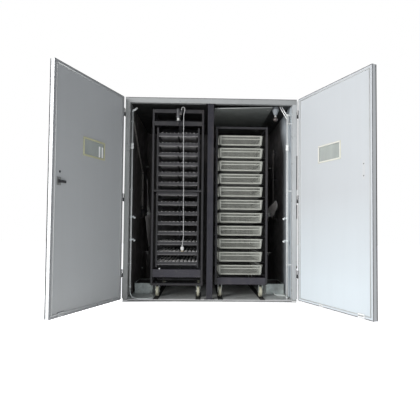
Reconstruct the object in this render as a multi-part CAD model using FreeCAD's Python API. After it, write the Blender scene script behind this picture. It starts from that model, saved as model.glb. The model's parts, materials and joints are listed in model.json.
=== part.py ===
"""Two-door egg incubator: insulated cabinet, setter trolley, hatcher trolley.

Millimetres, +Z up, +X to the right and -Y towards the person who opens the doors.
The origin is the centre of the cabinet's underside.  Both doors are drawn open,
as they stand while the trolleys are being loaded.
"""
import FreeCAD, Part
import math
import os

V = FreeCAD.Vector

# ---- cabinet -------------------------------------------------------------
WIDTH = 1960.0
DEPTH = 1400.0
HEIGHT = 2300.0          # roof deck over the plinth
PLINTH = 22.0            # base frame; every height is measured from its top
WALL = 50.0              # insulated panel thickness
SKIN = 1.0               # steel skin of every hollow panel
FLOOR = 8.0              # top of the floor panel
HEADER_BOTTOM = 2241.0
POST_X = -7.0            # centre post
POST_HALF = 34.0
FRONT = -DEPTH / 2
BACK = DEPTH / 2
SIDE = WIDTH / 2
INNER = SIDE - WALL      # inner face of the side walls
CEILING = HEIGHT - WALL
GUIDE = 3.0              # thickness of the wheel guide strips
GUIDE_HALF = 28.0
GUIDE_END = 440.0
VENT_R = 55.0
VENT_X = 470.0

# ---- doors ---------------------------------------------------------------
HINGE_X = 992.0
HINGE_Y = FRONT - 22.0
HINGE_Z = (300.0, 1150.0, 2120.0)
HINGE_HALF = 45.0        # half height of one hinge
PIN_R = 4.95
BARREL_BORE = 5.0
BARREL_R = 9.0
LEAF = 4.0
DOOR_THICK = 50.0
DOOR_GAP = 10.0          # door inner face to cabinet front face
DOOR_EDGE = 972.0        # hinge side edge
DOOR_MEET = 3.0          # meeting edge, each door
DOOR_LOW = 14.0
DOOR_HIGH = 2288.0
OPEN_ANGLE = 115.0
DOOR_IN = FRONT - DOOR_GAP
DOOR_OUT = DOOR_IN - DOOR_THICK
WINDOW_REACH = 476.0     # window centre from the hinge line
WINDOW_Z = 1593.0
WINDOW_HALF_W = 136.0
WINDOW_HALF_H = 75.0
BEZEL = 14.0
BEZEL_THICK = 5.0
PANE = 4.0
GASKET_WIDE = 20.0
GASKET_THICK = 9.5
LOCK_REACH = 915.0       # lock spindle from the hinge line
LOCK_Z = 1215.0
SPINDLE_R = 6.0

# ---- setter trolley ------------------------------------------------------
TUBE = 25.0              # square tube of both trolleys
TUBE_WALL = 1.5
SET_X = -386.0           # centre of the trolley
SET_HALF = 303.0
SET_FRONT = FRONT + 120.0
SET_BACK = SET_FRONT + 860.0
SET_TOP = 2208.0
SET_DECK = 145.0         # underside of the base rails
SET_RAILS = ((2164.0, SET_TOP), (2014.0, 2065.0), (239.0, 331.0), (SET_DECK, SET_DECK + TUBE))
SET_MIDDLE = (1233.0, 1258.0)
LAYERS = 14
LAYER_TOP_Z = 1919.0
LAYER_LOW_Z = 403.0
LAYER_PITCH = (LAYER_TOP_Z - LAYER_LOW_Z) / (LAYERS - 1)
TRAY_HALF = 234.0        # half width of one egg tray
TRAY_DEPTH = 370.0
TRAY_FRONT = SET_FRONT + 32.0
TRAY_GAP = 46.0          # gap between front and rear tray
TRAY_LOW = -22.0         # tray underside, from the pivot
TRAY_HIGH = 18.0
TRAY_WALL = 3.0
CARRIER = 14.0           # side bar of a layer, width
CARRIER_HALF = TRAY_HALF + CARRIER
PIVOT_R = 6.0
PIVOT_BORE = 6.05
UPRIGHT_HALF = 20.0
UPRIGHT_THICK = 24.0
TIE_X = 241.0            # tie bar pins from the trolley centre
TIE_HALF = 10.0
TIE_THICK = 5.0
TIE_PIN_R = 4.0
TIE_BORE = 4.05
TIE_FRONT = SET_FRONT + TUBE + 0.5
TIE_LOW = 350.0
TIE_HIGH = 1995.0

# ---- hatcher trolley -----------------------------------------------------
HAT_X = 364.5
HAT_HALF = 306.5
HAT_FRONT = SET_FRONT
HAT_BACK = HAT_FRONT + 960.0
HAT_TOP = 2011.0
HAT_DECK = 161.0
BASKETS = 11
BASKET_TOP_Z = 1908.0    # rim of the top basket
BASKET_PITCH = 152.2
BASKET_HIGH = 116.0
BASKET_X = 353.0         # the baskets sit nearer the left posts
BASKET_HALF = 266.0
BASKET_DEPTH = 900.0
BASKET_WALL = 3.0
BASKET_SET_IN = 6.0      # basket front behind the posts
PULLED_BASKETS = (1, 2, 3, 4, 5)
PULLED = 14.0            # how far these stand forward
RUNNER = 40.0            # width of the angle a basket slides on
RUNNER_THICK = 2.0

# ---- castor wheels -------------------------------------------------------
WHEEL_R = 60.0
WHEEL_HALF = 17.0
AXLE_R = 5.95
AXLE_BORE = 6.0
WHEEL_Z = FLOOR + GUIDE + 0.3 + WHEEL_R
FORK_THICK = 4.0
FORK_GAP = 2.0
SET_WHEEL_MID = SET_X + 14.0   # middle of a trolley's wheels
HAT_WHEEL_MID = HAT_X - 6.0
WHEEL_OUT = 238.5        # each wheel from that middle
WHEEL_IN = 55.0          # axle from the trolley's front and back

# ---- air, water, heat ----------------------------------------------------
FAN_Y = FRONT + 870.0
FAN_Z = 1010.0
FAN_R = 475.0
FAN_HUB_X = 838.0        # centre plane of the blades
BLADE_ROOT_HALF = 80.0   # half width of a paddle at the hub and at its tip
BLADE_TIP_HALF = 48.0
BLADE_THICK = 2.0
BLADE_PITCH = 16.0
LEFT_BLADE_ANGLE = 108.0
RIGHT_BLADE_ANGLE = -14.0
MOTOR_R = 62.0
SHAFT_R = 8.0
HUB_DISC_R = 56.0
LEFT_CHANNEL_X = 908.0   # inner face of the motor channels
RIGHT_CHANNEL_X = 884.0
CHANNEL_HALF = 6.0
LEFT_CHANNEL_TOP = 1590.0
RIGHT_CHANNEL_TOP = 1915.0
DUCT_END = (FRONT + 130.0, 2121.0)
PIPE_R = 10.0
PIPE_Y = FRONT + 72.0
LEFT_PIPE_X = -912.0
RIGHT_PIPE_X = 889.0
NOZZLE_Z = (675.0, 936.0)
PAN_TOP = 137.0
PAN_FRONT = FRONT + 340.0
PAN_DEPTH = 360.0
LEFT_PAN_X = (-907.0, -690.0)
RIGHT_PAN_X = (700.0, 916.0)
FEED_R = 6.0             # rigid feed pipe from the right spray pipe's foot to the right pan
FEED_ROUTE = [
    (889.0, -628.0, 22.0), (902.0, -480.0, 16.0), (884.0, -440.0, 15.0),
    (812.0, -430.0, 15.0), (792.0, -404.0, 22.0), (790.0, -362.0, 34.0),
]
BAFFLE_X = (38.0, 712.0)
BAFFLE_LOW = (2199.0, 2223.0)    # height of the baffle's underside at its left and right edge
STAY_SLOPE = 1.72        # fall of the ceiling stays for each millimetre sideways
STAY_Y = FRONT + 105.0
PAN_WALL = 1.5

# ---- free cords: route points --------------------------------------------
CABLE_R = 3.5
CABLE_ROUTE = [
    (-348.9, -608.0, 2186.0), (-348.9, -609.0, 2214.0), (-330.0, -611.0, 2227.0),
    (-311.5, -612.0, 2213.0), (-311.5, -612.0, 2180.0), (-322.0, -612.0, 2140.0),
    (-323.8, -612.0, 2060.0), (-309.5, -612.0, 730.0), (-312.5, -611.0, 668.0),
    (-322.5, -610.0, 612.0),
]
HOSE_R = 4.0
HOSE_ROUTE = [
    (-912.0, -628.0, 118.0), (-910.0, -632.0, 84.0), (-901.0, -641.0, 50.0),
    (-882.0, -654.0, 27.0), (-854.0, -667.0, 15.0), (-820.0, -677.0, 12.3),
    (-780.0, -682.0, 12.3), (-740.0, -683.0, 12.3), (-703.0, -677.0, 12.3),
    (-673.0, -661.0, 12.3), (-656.0, -633.0, 12.3), (-652.0, -598.0, 12.3),
    (-657.0, -556.0, 12.3), (-669.0, -512.0, 12.3), (-684.0, -468.0, 12.3),
    (-699.0, -430.0, 14.5), (-711.0, -401.0, 20.0), (-720.0, -376.0, 27.0),
]


# ---- helpers -------------------------------------------------------------
def box(x, y, z):
    """Box from three (low, high) pairs."""
    size = [high - low for low, high in (x, y, z)]
    return Part.makeBox(*size, V(x[0], y[0], z[0]))


def hollow(x, y, z, wall):
    """Closed box with an empty inside, as folded sheet or capped tube."""
    inner = [(low + wall, high - wall) for low, high in (x, y, z)]
    return box(x, y, z).cut(box(*inner))


def tube(x, y, z):
    return hollow(x, y, z, TUBE_WALL)


def rod(radius, start, end):
    """Round bar between two points."""
    a = V(*start)
    run = V(*end) - a
    return Part.makeCylinder(radius, run.Length, a, run)


def open_box(x, y, z, wall):
    """Tray: a floor and four walls, open at the top."""
    inner = ((x[0] + wall, x[1] - wall), (y[0] + wall, y[1] - wall), (z[0] + wall, z[1] + wall))
    return box(x, y, z).cut(box(*inner))


def fuse(shapes):
    whole = shapes[0]
    for shape in shapes[1:]:
        whole = whole.fuse(shape)
    return whole.removeSplitter()


def around(centre, half):
    return (centre - half, centre + half)


def span(side, low, high):
    """An X range measured outwards from the middle, on the left or right side."""
    return tuple(sorted((side * low, side * high)))


def save(name, *shapes):
    """Lift the shapes onto the plinth and write one node.  Several shapes stay separate solids."""
    shape = shapes[0] if len(shapes) == 1 else Part.makeCompound(list(shapes))
    shape.translate(V(0, 0, PLINTH))
    shape.exportStep("parts/%s.step" % name)


def cord_tube(name, points, radius):
    """Straight runs joined by tangent arcs, each as large as its two runs allow."""
    corners = [V(*p) for p in points]
    edges = []
    start = corners[0]
    for before, here, after in zip(corners, corners[1:], corners[2:]):
        into = (here - before).normalize()
        out = (after - here).normalize()
        half_turn = math.acos(max(-1.0, min(1.0, into.dot(out)))) / 2
        trim = 0.45 * min((here - before).Length, (after - here).Length)
        bend = trim / math.tan(half_turn)
        first = here - into * trim
        last = here + out * trim
        towards = (out - into).normalize()
        middle = here + towards * (bend / math.cos(half_turn) - bend)
        edges.append(Part.LineSegment(start, first).toShape())
        edges.append(Part.Arc(first, middle, last).toShape())
        start = last
        print("%s arc radius %.0f mm, turn %.0f degrees" % (name, bend, math.degrees(2 * half_turn)))
    edges.append(Part.LineSegment(start, corners[-1]).toShape())
    path = Part.Wire(edges)
    ring = Part.Wire(Part.makeCircle(radius, corners[0], corners[1] - corners[0]))
    solid = path.makePipeShell([ring], True, False)
    ratio = solid.Volume / (math.pi * radius ** 2 * path.Length)
    print("%s length %.0f mm, volume ratio %.4f" % (name, path.Length, ratio))
    return solid


# ---- cabinet -------------------------------------------------------------
def floor_panel():
    base = hollow((-SIDE, SIDE), (FRONT + WALL, BACK), (-PLINTH, FLOOR), SKIN)
    strips = []
    for middle in (SET_WHEEL_MID, HAT_WHEEL_MID):
        for x in (middle - WHEEL_OUT, middle + WHEEL_OUT):
            strips.append(box(around(x, GUIDE_HALF), (FRONT, GUIDE_END), (FLOOR, FLOOR + GUIDE)))
    save("floor_panel", base, *strips)


def walls():
    y = (FRONT + WALL, BACK)
    z = (FLOOR, CEILING)
    save("left_wall", hollow((-SIDE, -INNER), y, z, SKIN))
    save("right_wall", hollow((INNER, SIDE), y, z, SKIN))
    rear = hollow((-INNER, INNER), (BACK - WALL, BACK), z, SKIN)
    intakes = [rod(VENT_R, (x, BACK, 420), (x, BACK + 25, 420)) for x in (-VENT_X, VENT_X)]
    save("rear_wall", rear, *intakes)
    roof = hollow((-SIDE, SIDE), y, (CEILING, HEIGHT), SKIN)
    save("roof", roof, *[exhaust_vent(x) for x in (-VENT_X, VENT_X)])


def exhaust_vent(x):
    """Short collar with a rain cap on the roof."""
    y = BACK - 300
    collar = rod(VENT_R, (x, y, HEIGHT), (x, y, HEIGHT + 40))
    cap = rod(VENT_R + 22, (x, y, HEIGHT + 40), (x, y, HEIGHT + 46))
    return fuse([collar, cap])


def front_frame():
    y = (FRONT, FRONT + WALL)
    jamb_z = (FLOOR, HEADER_BOTTOM)
    left = hollow((-SIDE, -INNER), y, jamb_z, SKIN)
    right = hollow((INNER, SIDE), y, jamb_z, SKIN)
    header = hollow((-SIDE, SIDE), y, (HEADER_BOTTOM, HEIGHT), SKIN)
    sill = hollow((-SIDE, SIDE), y, (-PLINTH, FLOOR), SKIN)
    save("front_frame", left, right, header, sill)
    post = hollow(around(POST_X, POST_HALF), y, jamb_z, SKIN)
    save("centre_post", post)


def hinge_frame_half(side, z):
    """Leaf on the cabinet's side, lower barrel and pin."""
    leaf_x = span(side, SIDE, SIDE + LEAF)
    plate = box(leaf_x, (FRONT, FRONT + 60), around(z, HINGE_HALF))
    arm = box(leaf_x, (HINGE_Y, FRONT), (z - HINGE_HALF, z - 1))
    x = side * HINGE_X
    barrel = rod(BARREL_R, (x, HINGE_Y, z - HINGE_HALF), (x, HINGE_Y, z - 1))
    pin = rod(PIN_R, (x, HINGE_Y, z - HINGE_HALF), (x, HINGE_Y, z + HINGE_HALF))
    return fuse([plate, arm, barrel, pin])


def hinges():
    save("cabinet_hinges", *[hinge_frame_half(s, z) for s in (-1, 1) for z in HINGE_Z])


# ---- doors, drawn closed and then swung open -----------------------------
def door_x(side, reach_low, reach_high):
    """X range of a strip of a closed door, measured from its hinge line."""
    return span(side, HINGE_X - reach_high, HINGE_X - reach_low)


def swing(shape, side):
    turned = shape.copy()
    turned.rotate(V(side * HINGE_X, HINGE_Y, 0), V(0, 0, 1), side * OPEN_ANGLE)
    return turned


def door_panel(side, spindle_hole):
    x = span(side, DOOR_MEET, DOOR_EDGE)
    y = (DOOR_OUT, DOOR_IN)
    z = (DOOR_LOW, DOOR_HIGH)
    window_x = door_x(side, WINDOW_REACH - WINDOW_HALF_W, WINDOW_REACH + WINDOW_HALF_W)
    window_z = around(WINDOW_Z, WINDOW_HALF_H)
    core = box(*[(low + SKIN, high - SKIN) for low, high in (x, y, z)])
    core = core.cut(box((window_x[0] - SKIN, window_x[1] + SKIN), y,
                        (window_z[0] - SKIN, window_z[1] + SKIN)))
    panel = box(x, y, z).cut(box(window_x, y, window_z))
    if spindle_hole:
        centre = side * (HINGE_X - LOCK_REACH)
        ends = (centre, DOOR_OUT - 1, LOCK_Z), (centre, DOOR_IN + 1, LOCK_Z)
        core = core.cut(rod(SPINDLE_R + 1 + SKIN, *ends))
        panel = panel.cut(rod(SPINDLE_R + 1, *ends))
    return panel.cut(core)


def ring(x, y, z, wide):
    """Flat rectangular frame lying in a door's face, as four strips."""
    upright = (z[0] + wide, z[1] - wide)
    return [
        box(x, y, (z[0], upright[0])),
        box(x, y, (upright[1], z[1])),
        box((x[0], x[0] + wide), y, upright),
        box((x[1] - wide, x[1]), y, upright),
    ]


def window_bezels(side):
    x = door_x(side, WINDOW_REACH - WINDOW_HALF_W - BEZEL, WINDOW_REACH + WINDOW_HALF_W + BEZEL)
    z = around(WINDOW_Z, WINDOW_HALF_H + BEZEL)
    inside = ring(x, (DOOR_IN, DOOR_IN + BEZEL_THICK), z, BEZEL)
    outside = ring(x, (DOOR_OUT - BEZEL_THICK, DOOR_OUT), z, BEZEL)
    return inside + outside


def gasket(side):
    x = span(side, DOOR_MEET + 2, DOOR_EDGE - 2)
    return ring(x, (DOOR_IN, DOOR_IN + GASKET_THICK), (DOOR_LOW + 2, DOOR_HIGH - 2), GASKET_WIDE)


def hinge_door_half(side, z):
    """Leaf on the door's edge and the upper barrel, bored for the pin."""
    x = side * HINGE_X
    plate = box(span(side, DOOR_EDGE, DOOR_EDGE + 3), (DOOR_OUT + 5, DOOR_IN - 5),
                around(z, HINGE_HALF))
    arm = box(span(side, DOOR_EDGE, HINGE_X - 6), (HINGE_Y - 4, HINGE_Y), (z + 1, z + HINGE_HALF))
    barrel = rod(BARREL_R, (x, HINGE_Y, z + 1), (x, HINGE_Y, z + HINGE_HALF))
    bore = rod(BARREL_BORE, (x, HINGE_Y, z), (x, HINGE_Y, z + HINGE_HALF + 1))
    return fuse([plate, arm, barrel]).cut(bore)


def door_trim(side):
    parts = window_bezels(side) + gasket(side)
    return parts + [hinge_door_half(side, z) for z in HINGE_Z]


def door_glass(side):
    x = door_x(side, WINDOW_REACH - WINDOW_HALF_W, WINDOW_REACH + WINDOW_HALF_W)
    z = around(WINDOW_Z, WINDOW_HALF_H)
    inner = box(x, (DOOR_IN - 3 - PANE, DOOR_IN - 3), z)
    outer = box(x, (DOOR_OUT + 3, DOOR_OUT + 3 + PANE), z)
    return [inner, outer]


def pull_handle(side):
    """Bow handle on the outside of the right door."""
    x = side * (HINGE_X - LOCK_REACH)
    low, high = LOCK_Z - 90, LOCK_Z + 90
    face = DOOR_OUT
    stand = face - 38
    feet = [box(around(x, 11), (stand, face), around(z, 9)) for z in (low, high)]
    grip = box(around(x, 11), (stand - 8, stand), (low - 9, high + 9))
    return fuse(feet + [grip])


def strike_plate(side):
    x = side * (HINGE_X - 893)
    plate = box(around(x, 14), (DOOR_IN, DOOR_IN + 2), (1270, 1440))
    for z in (1300, 1409):
        plate = plate.cut(rod(4, (x, DOOR_IN - 1, z), (x, DOOR_IN + 3, z)))
    return plate


def lock_case(side):
    """Case inside the door and rose outside it, both bored for the spindle."""
    x = side * (HINGE_X - LOCK_REACH)
    case = box(around(x, 21), (DOOR_IN, DOOR_IN + 8), around(LOCK_Z, 36))
    rose = rod(24, (x, DOOR_OUT - 6, LOCK_Z), (x, DOOR_OUT, LOCK_Z))
    bore = rod(SPINDLE_R + 0.05, (x, DOOR_OUT - 10, LOCK_Z), (x, DOOR_IN + 10, LOCK_Z))
    return [case.cut(bore), rose.cut(bore)]


def lock_lever(side):
    """Spindle through the door with a lever on each face."""
    x = side * (HINGE_X - LOCK_REACH)
    towards_hinge = side
    spindle = rod(SPINDLE_R, (x, DOOR_OUT - 26, LOCK_Z), (x, DOOR_IN + 18, LOCK_Z))
    inner_x = tuple(sorted((x - towards_hinge * 14, x + towards_hinge * 74)))
    outer_x = tuple(sorted((x - towards_hinge * 14, x + towards_hinge * 120)))
    inner = box(inner_x, (DOOR_IN + 9, DOOR_IN + 18), around(LOCK_Z, 14))
    outer = box(outer_x, (DOOR_OUT - 38, DOOR_OUT - 24), around(LOCK_Z, 12))
    return fuse([spindle, inner, outer])


def doors():
    for side, name in ((-1, "left"), (1, "right")):
        is_left = side < 0
        save(name + "_door_panel", swing(door_panel(side, is_left), side))
        trim = door_trim(side)
        if not is_left:
            trim += [pull_handle(side), strike_plate(side)]
        save(name + "_door_trim", *[swing(s, side) for s in trim])
        save(name + "_door_glass", *[swing(s, side) for s in door_glass(side)])
    save("lock_case", *[swing(s, -1) for s in lock_case(-1)])
    save("lock_lever", swing(lock_lever(-1), -1))


# ---- castors -------------------------------------------------------------
def wheel(x, y):
    body = rod(WHEEL_R, (x - WHEEL_HALF, y, WHEEL_Z), (x + WHEEL_HALF, y, WHEEL_Z))
    return body.cut(rod(AXLE_BORE, (x - WHEEL_HALF - 1, y, WHEEL_Z), (x + WHEEL_HALF + 1, y, WHEEL_Z)))


def castor_fork(x, y, deck):
    """Two cheeks, a top plate and the axle, welded to the trolley base at height deck."""
    reach = WHEEL_HALF + FORK_GAP
    parts = [box(around(x, reach + FORK_THICK), around(y, 30), (deck - FORK_THICK, deck))]
    for s in (-1, 1):
        cheek_x = tuple(sorted((x + s * reach, x + s * (reach + FORK_THICK))))
        parts.append(box(cheek_x, around(y, 16), (WHEEL_Z - 14, deck - FORK_THICK)))
    end = reach + FORK_THICK
    parts.append(rod(AXLE_R, (x - end, y, WHEEL_Z), (x + end, y, WHEEL_Z)))
    return fuse(parts)


def wheel_pair(name, middle, y):
    save(name, wheel(middle - WHEEL_OUT, y), wheel(middle + WHEEL_OUT, y))


# ---- setter trolley ------------------------------------------------------
def layer_z(index):
    return LAYER_TOP_Z - LAYER_PITCH * index


def corner_posts(centre, half, front, back, low, high):
    posts = []
    for x in (centre - half, centre + half - TUBE):
        for y in (front, back - TUBE):
            posts.append(tube((x, x + TUBE), (y, y + TUBE), (low, high)))
    return posts


def cross_rail(centre, half, y, z):
    """Rail from post to post along X."""
    return tube((centre - half + TUBE, centre + half - TUBE), (y, y + TUBE), z)


def side_rails(centre, half, front, back, z):
    """Rails from front post to rear post along Y, one each side."""
    rails = []
    for x in (centre - half, centre + half - TUBE):
        rails.append(tube((x, x + TUBE), (front + TUBE, back - TUBE), z))
    return rails


SET_MID_Y = TRAY_FRONT + TRAY_DEPTH + TRAY_GAP / 2
SET_REAR_Y = TRAY_FRONT + 2 * TRAY_DEPTH + TRAY_GAP + 22


def pivot_upright(y, high):
    """Centre upright bored for every layer's pivot."""
    z = (SET_DECK + TUBE, high)
    upright = box(around(SET_X, UPRIGHT_HALF), around(y, UPRIGHT_THICK / 2), z)
    for index in range(LAYERS):
        z = layer_z(index)
        ends = (SET_X, y - UPRIGHT_THICK, z), (SET_X, y + UPRIGHT_THICK, z)
        upright = upright.cut(rod(PIVOT_BORE, *ends))
    return upright


def turning_motor():
    """Gear motor on the top rail that rocks the layers, with its cable gland."""
    x = SET_X
    y = SET_FRONT - 22
    bracket = box(around(x, 24), (SET_FRONT - 4, SET_FRONT), (2060, SET_TOP))
    body = rod(18, (x, y, 2092), (x, y, 2190))
    cap = rod(20, (x, y, 2190), (x, y, 2208))
    nose = rod(13, (x, y, 2066), (x, y, 2092))
    shaft = rod(5, (x, y, 2030), (x, y, 2066))
    side_box = box((x + 10, x + 44), around(y - 3, 12), (2130, 2172))
    gland = rod(6, (CABLE_ROUTE[0][0], CABLE_ROUTE[0][1], 2160), CABLE_ROUTE[0])
    return fuse([bracket, body, cap, nose, shaft, side_box, gland])


def setter_frame():
    solids = corner_posts(SET_X, SET_HALF, SET_FRONT, SET_BACK, SET_DECK, SET_TOP)
    back_y = SET_BACK - TUBE
    for z in SET_RAILS:
        solids.append(cross_rail(SET_X, SET_HALF, SET_FRONT, z))
        solids.append(cross_rail(SET_X, SET_HALF, back_y, z))
    solids.append(cross_rail(SET_X, SET_HALF, SET_FRONT, SET_MIDDLE))
    for z in (SET_RAILS[0], SET_MIDDLE, SET_RAILS[3]):
        solids += side_rails(SET_X, SET_HALF, SET_FRONT, SET_BACK, z)
    mid_rail_y = SET_MID_Y - TUBE / 2
    solids.append(cross_rail(SET_X, SET_HALF, mid_rail_y, SET_RAILS[0]))
    solids.append(cross_rail(SET_X, SET_HALF, mid_rail_y, (SET_DECK, SET_DECK + TUBE)))
    solids.append(pivot_upright(SET_MID_Y, SET_RAILS[0][0]))
    solids.append(pivot_upright(SET_REAR_Y, SET_RAILS[1][0]))
    solids.append(turning_motor())
    for y in (SET_FRONT + WHEEL_IN, SET_BACK - WHEEL_IN):
        solids.append(cross_rail(SET_X, SET_HALF, y - TUBE / 2, (SET_DECK, SET_DECK + TUBE)))
        for x in (SET_WHEEL_MID - WHEEL_OUT, SET_WHEEL_MID + WHEEL_OUT):
            solids.append(castor_fork(x, y, SET_DECK))
    save("setter_frame", *solids)


def setter_layer(index):
    """Two egg trays on side bars, a pivot shaft and the tie bar pins."""
    z = layer_z(index)
    z_range = (z + TRAY_LOW, z + TRAY_HIGH)
    x = around(SET_X, TRAY_HALF)
    front_y = (TRAY_FRONT, TRAY_FRONT + TRAY_DEPTH)
    rear_y = (front_y[1] + TRAY_GAP, front_y[1] + TRAY_GAP + TRAY_DEPTH)
    parts = [open_box(x, front_y, z_range, TRAY_WALL), open_box(x, rear_y, z_range, TRAY_WALL)]
    for side in (-1, 1):
        bar_x = tuple(sorted((SET_X + side * TRAY_HALF, SET_X + side * CARRIER_HALF)))
        parts.append(box(bar_x, (front_y[0], rear_y[1]), (z - 10, z + 10)))
        pin_x = SET_X + side * TIE_X
        parts.append(rod(TIE_PIN_R, (pin_x, TIE_FRONT, z), (pin_x, TRAY_FRONT, z)))
    parts.append(rod(PIVOT_R, (SET_X, front_y[1], z), (SET_X, rear_y[0], z)))
    parts.append(rod(PIVOT_R, (SET_X, rear_y[1], z), (SET_X, SET_REAR_Y + UPRIGHT_THICK / 2, z)))
    save("setter_layer_%02d" % (index + 1), fuse(parts))


def tie_bar(side, name):
    """Flat bar that keeps the layers parallel, bored for each layer's pin."""
    x = SET_X + side * TIE_X
    bar = box(around(x, TIE_HALF), (TIE_FRONT, TIE_FRONT + TIE_THICK), (TIE_LOW, TIE_HIGH))
    for index in range(LAYERS):
        z = layer_z(index)
        bar = bar.cut(rod(TIE_BORE, (x, TIE_FRONT - 1, z), (x, TIE_FRONT + TIE_THICK + 1, z)))
    save(name, bar)


def setter_trolley():
    setter_frame()
    for index in range(LAYERS):
        setter_layer(index)
    tie_bar(-1, "left_tie_bar")
    tie_bar(1, "right_tie_bar")
    wheel_pair("setter_front_wheels", SET_WHEEL_MID, SET_FRONT + WHEEL_IN)
    wheel_pair("setter_rear_wheels", SET_WHEEL_MID, SET_BACK - WHEEL_IN)


# ---- hatcher trolley -----------------------------------------------------
def basket_low(index):
    return BASKET_TOP_Z - BASKET_HIGH - BASKET_PITCH * index


def hatcher_frame():
    solids = corner_posts(HAT_X, HAT_HALF, HAT_FRONT, HAT_BACK, HAT_DECK, HAT_TOP)
    back_y = HAT_BACK - TUBE
    for z in ((HAT_TOP - TUBE, HAT_TOP), (HAT_DECK, HAT_DECK + 80)):
        solids.append(cross_rail(HAT_X, HAT_HALF, HAT_FRONT, z))
        solids.append(cross_rail(HAT_X, HAT_HALF, back_y, z))
    for z in ((HAT_TOP - TUBE, HAT_TOP), (HAT_DECK, HAT_DECK + 80)):
        solids += side_rails(HAT_X, HAT_HALF, HAT_FRONT, HAT_BACK, z)
    for index in range(BASKETS):
        z = basket_low(index) - 0.4
        for side in (-1, 1):
            edge = HAT_HALF - TUBE
            x = tuple(sorted((HAT_X + side * (edge - RUNNER), HAT_X + side * edge)))
            solids.append(box(x, (HAT_FRONT, HAT_BACK), (z - RUNNER_THICK, z)))
    for y in (HAT_FRONT + WHEEL_IN, HAT_BACK - WHEEL_IN):
        solids.append(cross_rail(HAT_X, HAT_HALF, y - TUBE / 2, (HAT_DECK, HAT_DECK + TUBE)))
        for x in (HAT_WHEEL_MID - WHEEL_OUT, HAT_WHEEL_MID + WHEEL_OUT):
            solids.append(castor_fork(x, y, HAT_DECK))
    save("hatcher_frame", *solids)


def basket(index):
    low = basket_low(index)
    front = HAT_FRONT + BASKET_SET_IN
    if index in PULLED_BASKETS:
        front -= PULLED
    y = (front, front + BASKET_DEPTH)
    shape = open_box(around(BASKET_X, BASKET_HALF), y, (low, low + BASKET_HIGH), BASKET_WALL)
    save("hatching_basket_%02d" % (index + 1), shape)


def hatcher_trolley():
    hatcher_frame()
    for index in range(BASKETS):
        basket(index)
    wheel_pair("hatcher_front_wheels", HAT_WHEEL_MID, HAT_FRONT + WHEEL_IN)
    wheel_pair("hatcher_rear_wheels", HAT_WHEEL_MID, HAT_BACK - WHEEL_IN)


# ---- fans and their motors -----------------------------------------------
def paddle(x):
    """Flat blade that narrows from the hub to its tip, drawn along +Y."""
    root, tip = FAN_Y + 20, FAN_Y + FAN_R
    corners = [V(x, root, FAN_Z - BLADE_ROOT_HALF), V(x, tip, FAN_Z - BLADE_TIP_HALF),
               V(x, tip, FAN_Z + BLADE_TIP_HALF), V(x, root, FAN_Z + BLADE_ROOT_HALF)]
    outline = Part.makePolygon(corners + corners[:1])
    blade = Part.Face(outline).extrude(V(BLADE_THICK, 0, 0))
    blade.translate(V(-BLADE_THICK / 2, 0, 0))
    return blade


def fan(side, angle, name):
    """Hub with its disc on the motor shaft and two long pitched paddles."""
    x = side * FAN_HUB_X
    hub = rod(26, (x - side * 30, FAN_Y, FAN_Z), (x + side * 12, FAN_Y, FAN_Z))
    disc = rod(HUB_DISC_R, (x - side * 26, FAN_Y, FAN_Z), (x - side * 16, FAN_Y, FAN_Z))
    bore = rod(SHAFT_R + 0.05, (x - side * 20, FAN_Y, FAN_Z), (x + side * 14, FAN_Y, FAN_Z))
    blades = []
    for turn in (0, 180):
        blade = paddle(x)
        blade.rotate(V(x, FAN_Y, FAN_Z), V(0, 1, 0), BLADE_PITCH)
        blade.rotate(V(x, FAN_Y, FAN_Z), V(1, 0, 0), turn + angle)
        blades.append(blade)
    save(name, fuse([hub, disc] + blades).cut(bore))


def left_channel():
    """Flat upright channel on the left wall that carries the fan motor's cable."""
    z = (FAN_Z + MOTOR_R - 10, LEFT_CHANNEL_TOP)
    return box((-INNER, -LEFT_CHANNEL_X), around(FAN_Y, CHANNEL_HALF), z)


def right_channel():
    """Cable tube of the right fan motor, held off the wall by three brackets."""
    z = (FAN_Z + MOTOR_R - 10, RIGHT_CHANNEL_TOP)
    y = around(FAN_Y, CHANNEL_HALF)
    parts = [box((RIGHT_CHANNEL_X, RIGHT_CHANNEL_X + 2 * CHANNEL_HALF), y, z)]
    for height in (1130, 1500, RIGHT_CHANNEL_TOP - 30):
        parts.append(box((RIGHT_CHANNEL_X + CHANNEL_HALF, INNER), y, around(height, 8)))
    return fuse(parts)


def left_duct():
    """Flat duct that slopes from the channel up to the front of the ceiling."""
    start = V(-INNER + 8, FAN_Y, LEFT_CHANNEL_TOP)
    end = V(-INNER + 8, *DUCT_END)
    run = end - start
    duct = box((start.x - 8, start.x + 8), (start.y, start.y + run.Length), around(start.z, 12))
    duct.rotate(start, V(1, 0, 0), math.degrees(math.atan2(run.z, run.y)))
    return duct


def fan_motor(side):
    wall = side * INNER
    face = side * (INNER - 50)
    plate = box(span(side, INNER - 6, INNER), around(FAN_Y, 75), around(FAN_Z, 75))
    body = rod(MOTOR_R, (wall, FAN_Y, FAN_Z), (face, FAN_Y, FAN_Z))
    shaft = rod(SHAFT_R, (face, FAN_Y, FAN_Z), (side * (FAN_HUB_X - 18), FAN_Y, FAN_Z))
    return fuse([plate, body, shaft])


def fans():
    fan(-1, LEFT_BLADE_ANGLE, "left_fan")
    fan(1, RIGHT_BLADE_ANGLE, "right_fan")
    left = fuse([fan_motor(-1), left_channel(), left_duct()])
    right = fuse([fan_motor(1), right_channel()])
    save("fan_motors", left, right)


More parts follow.
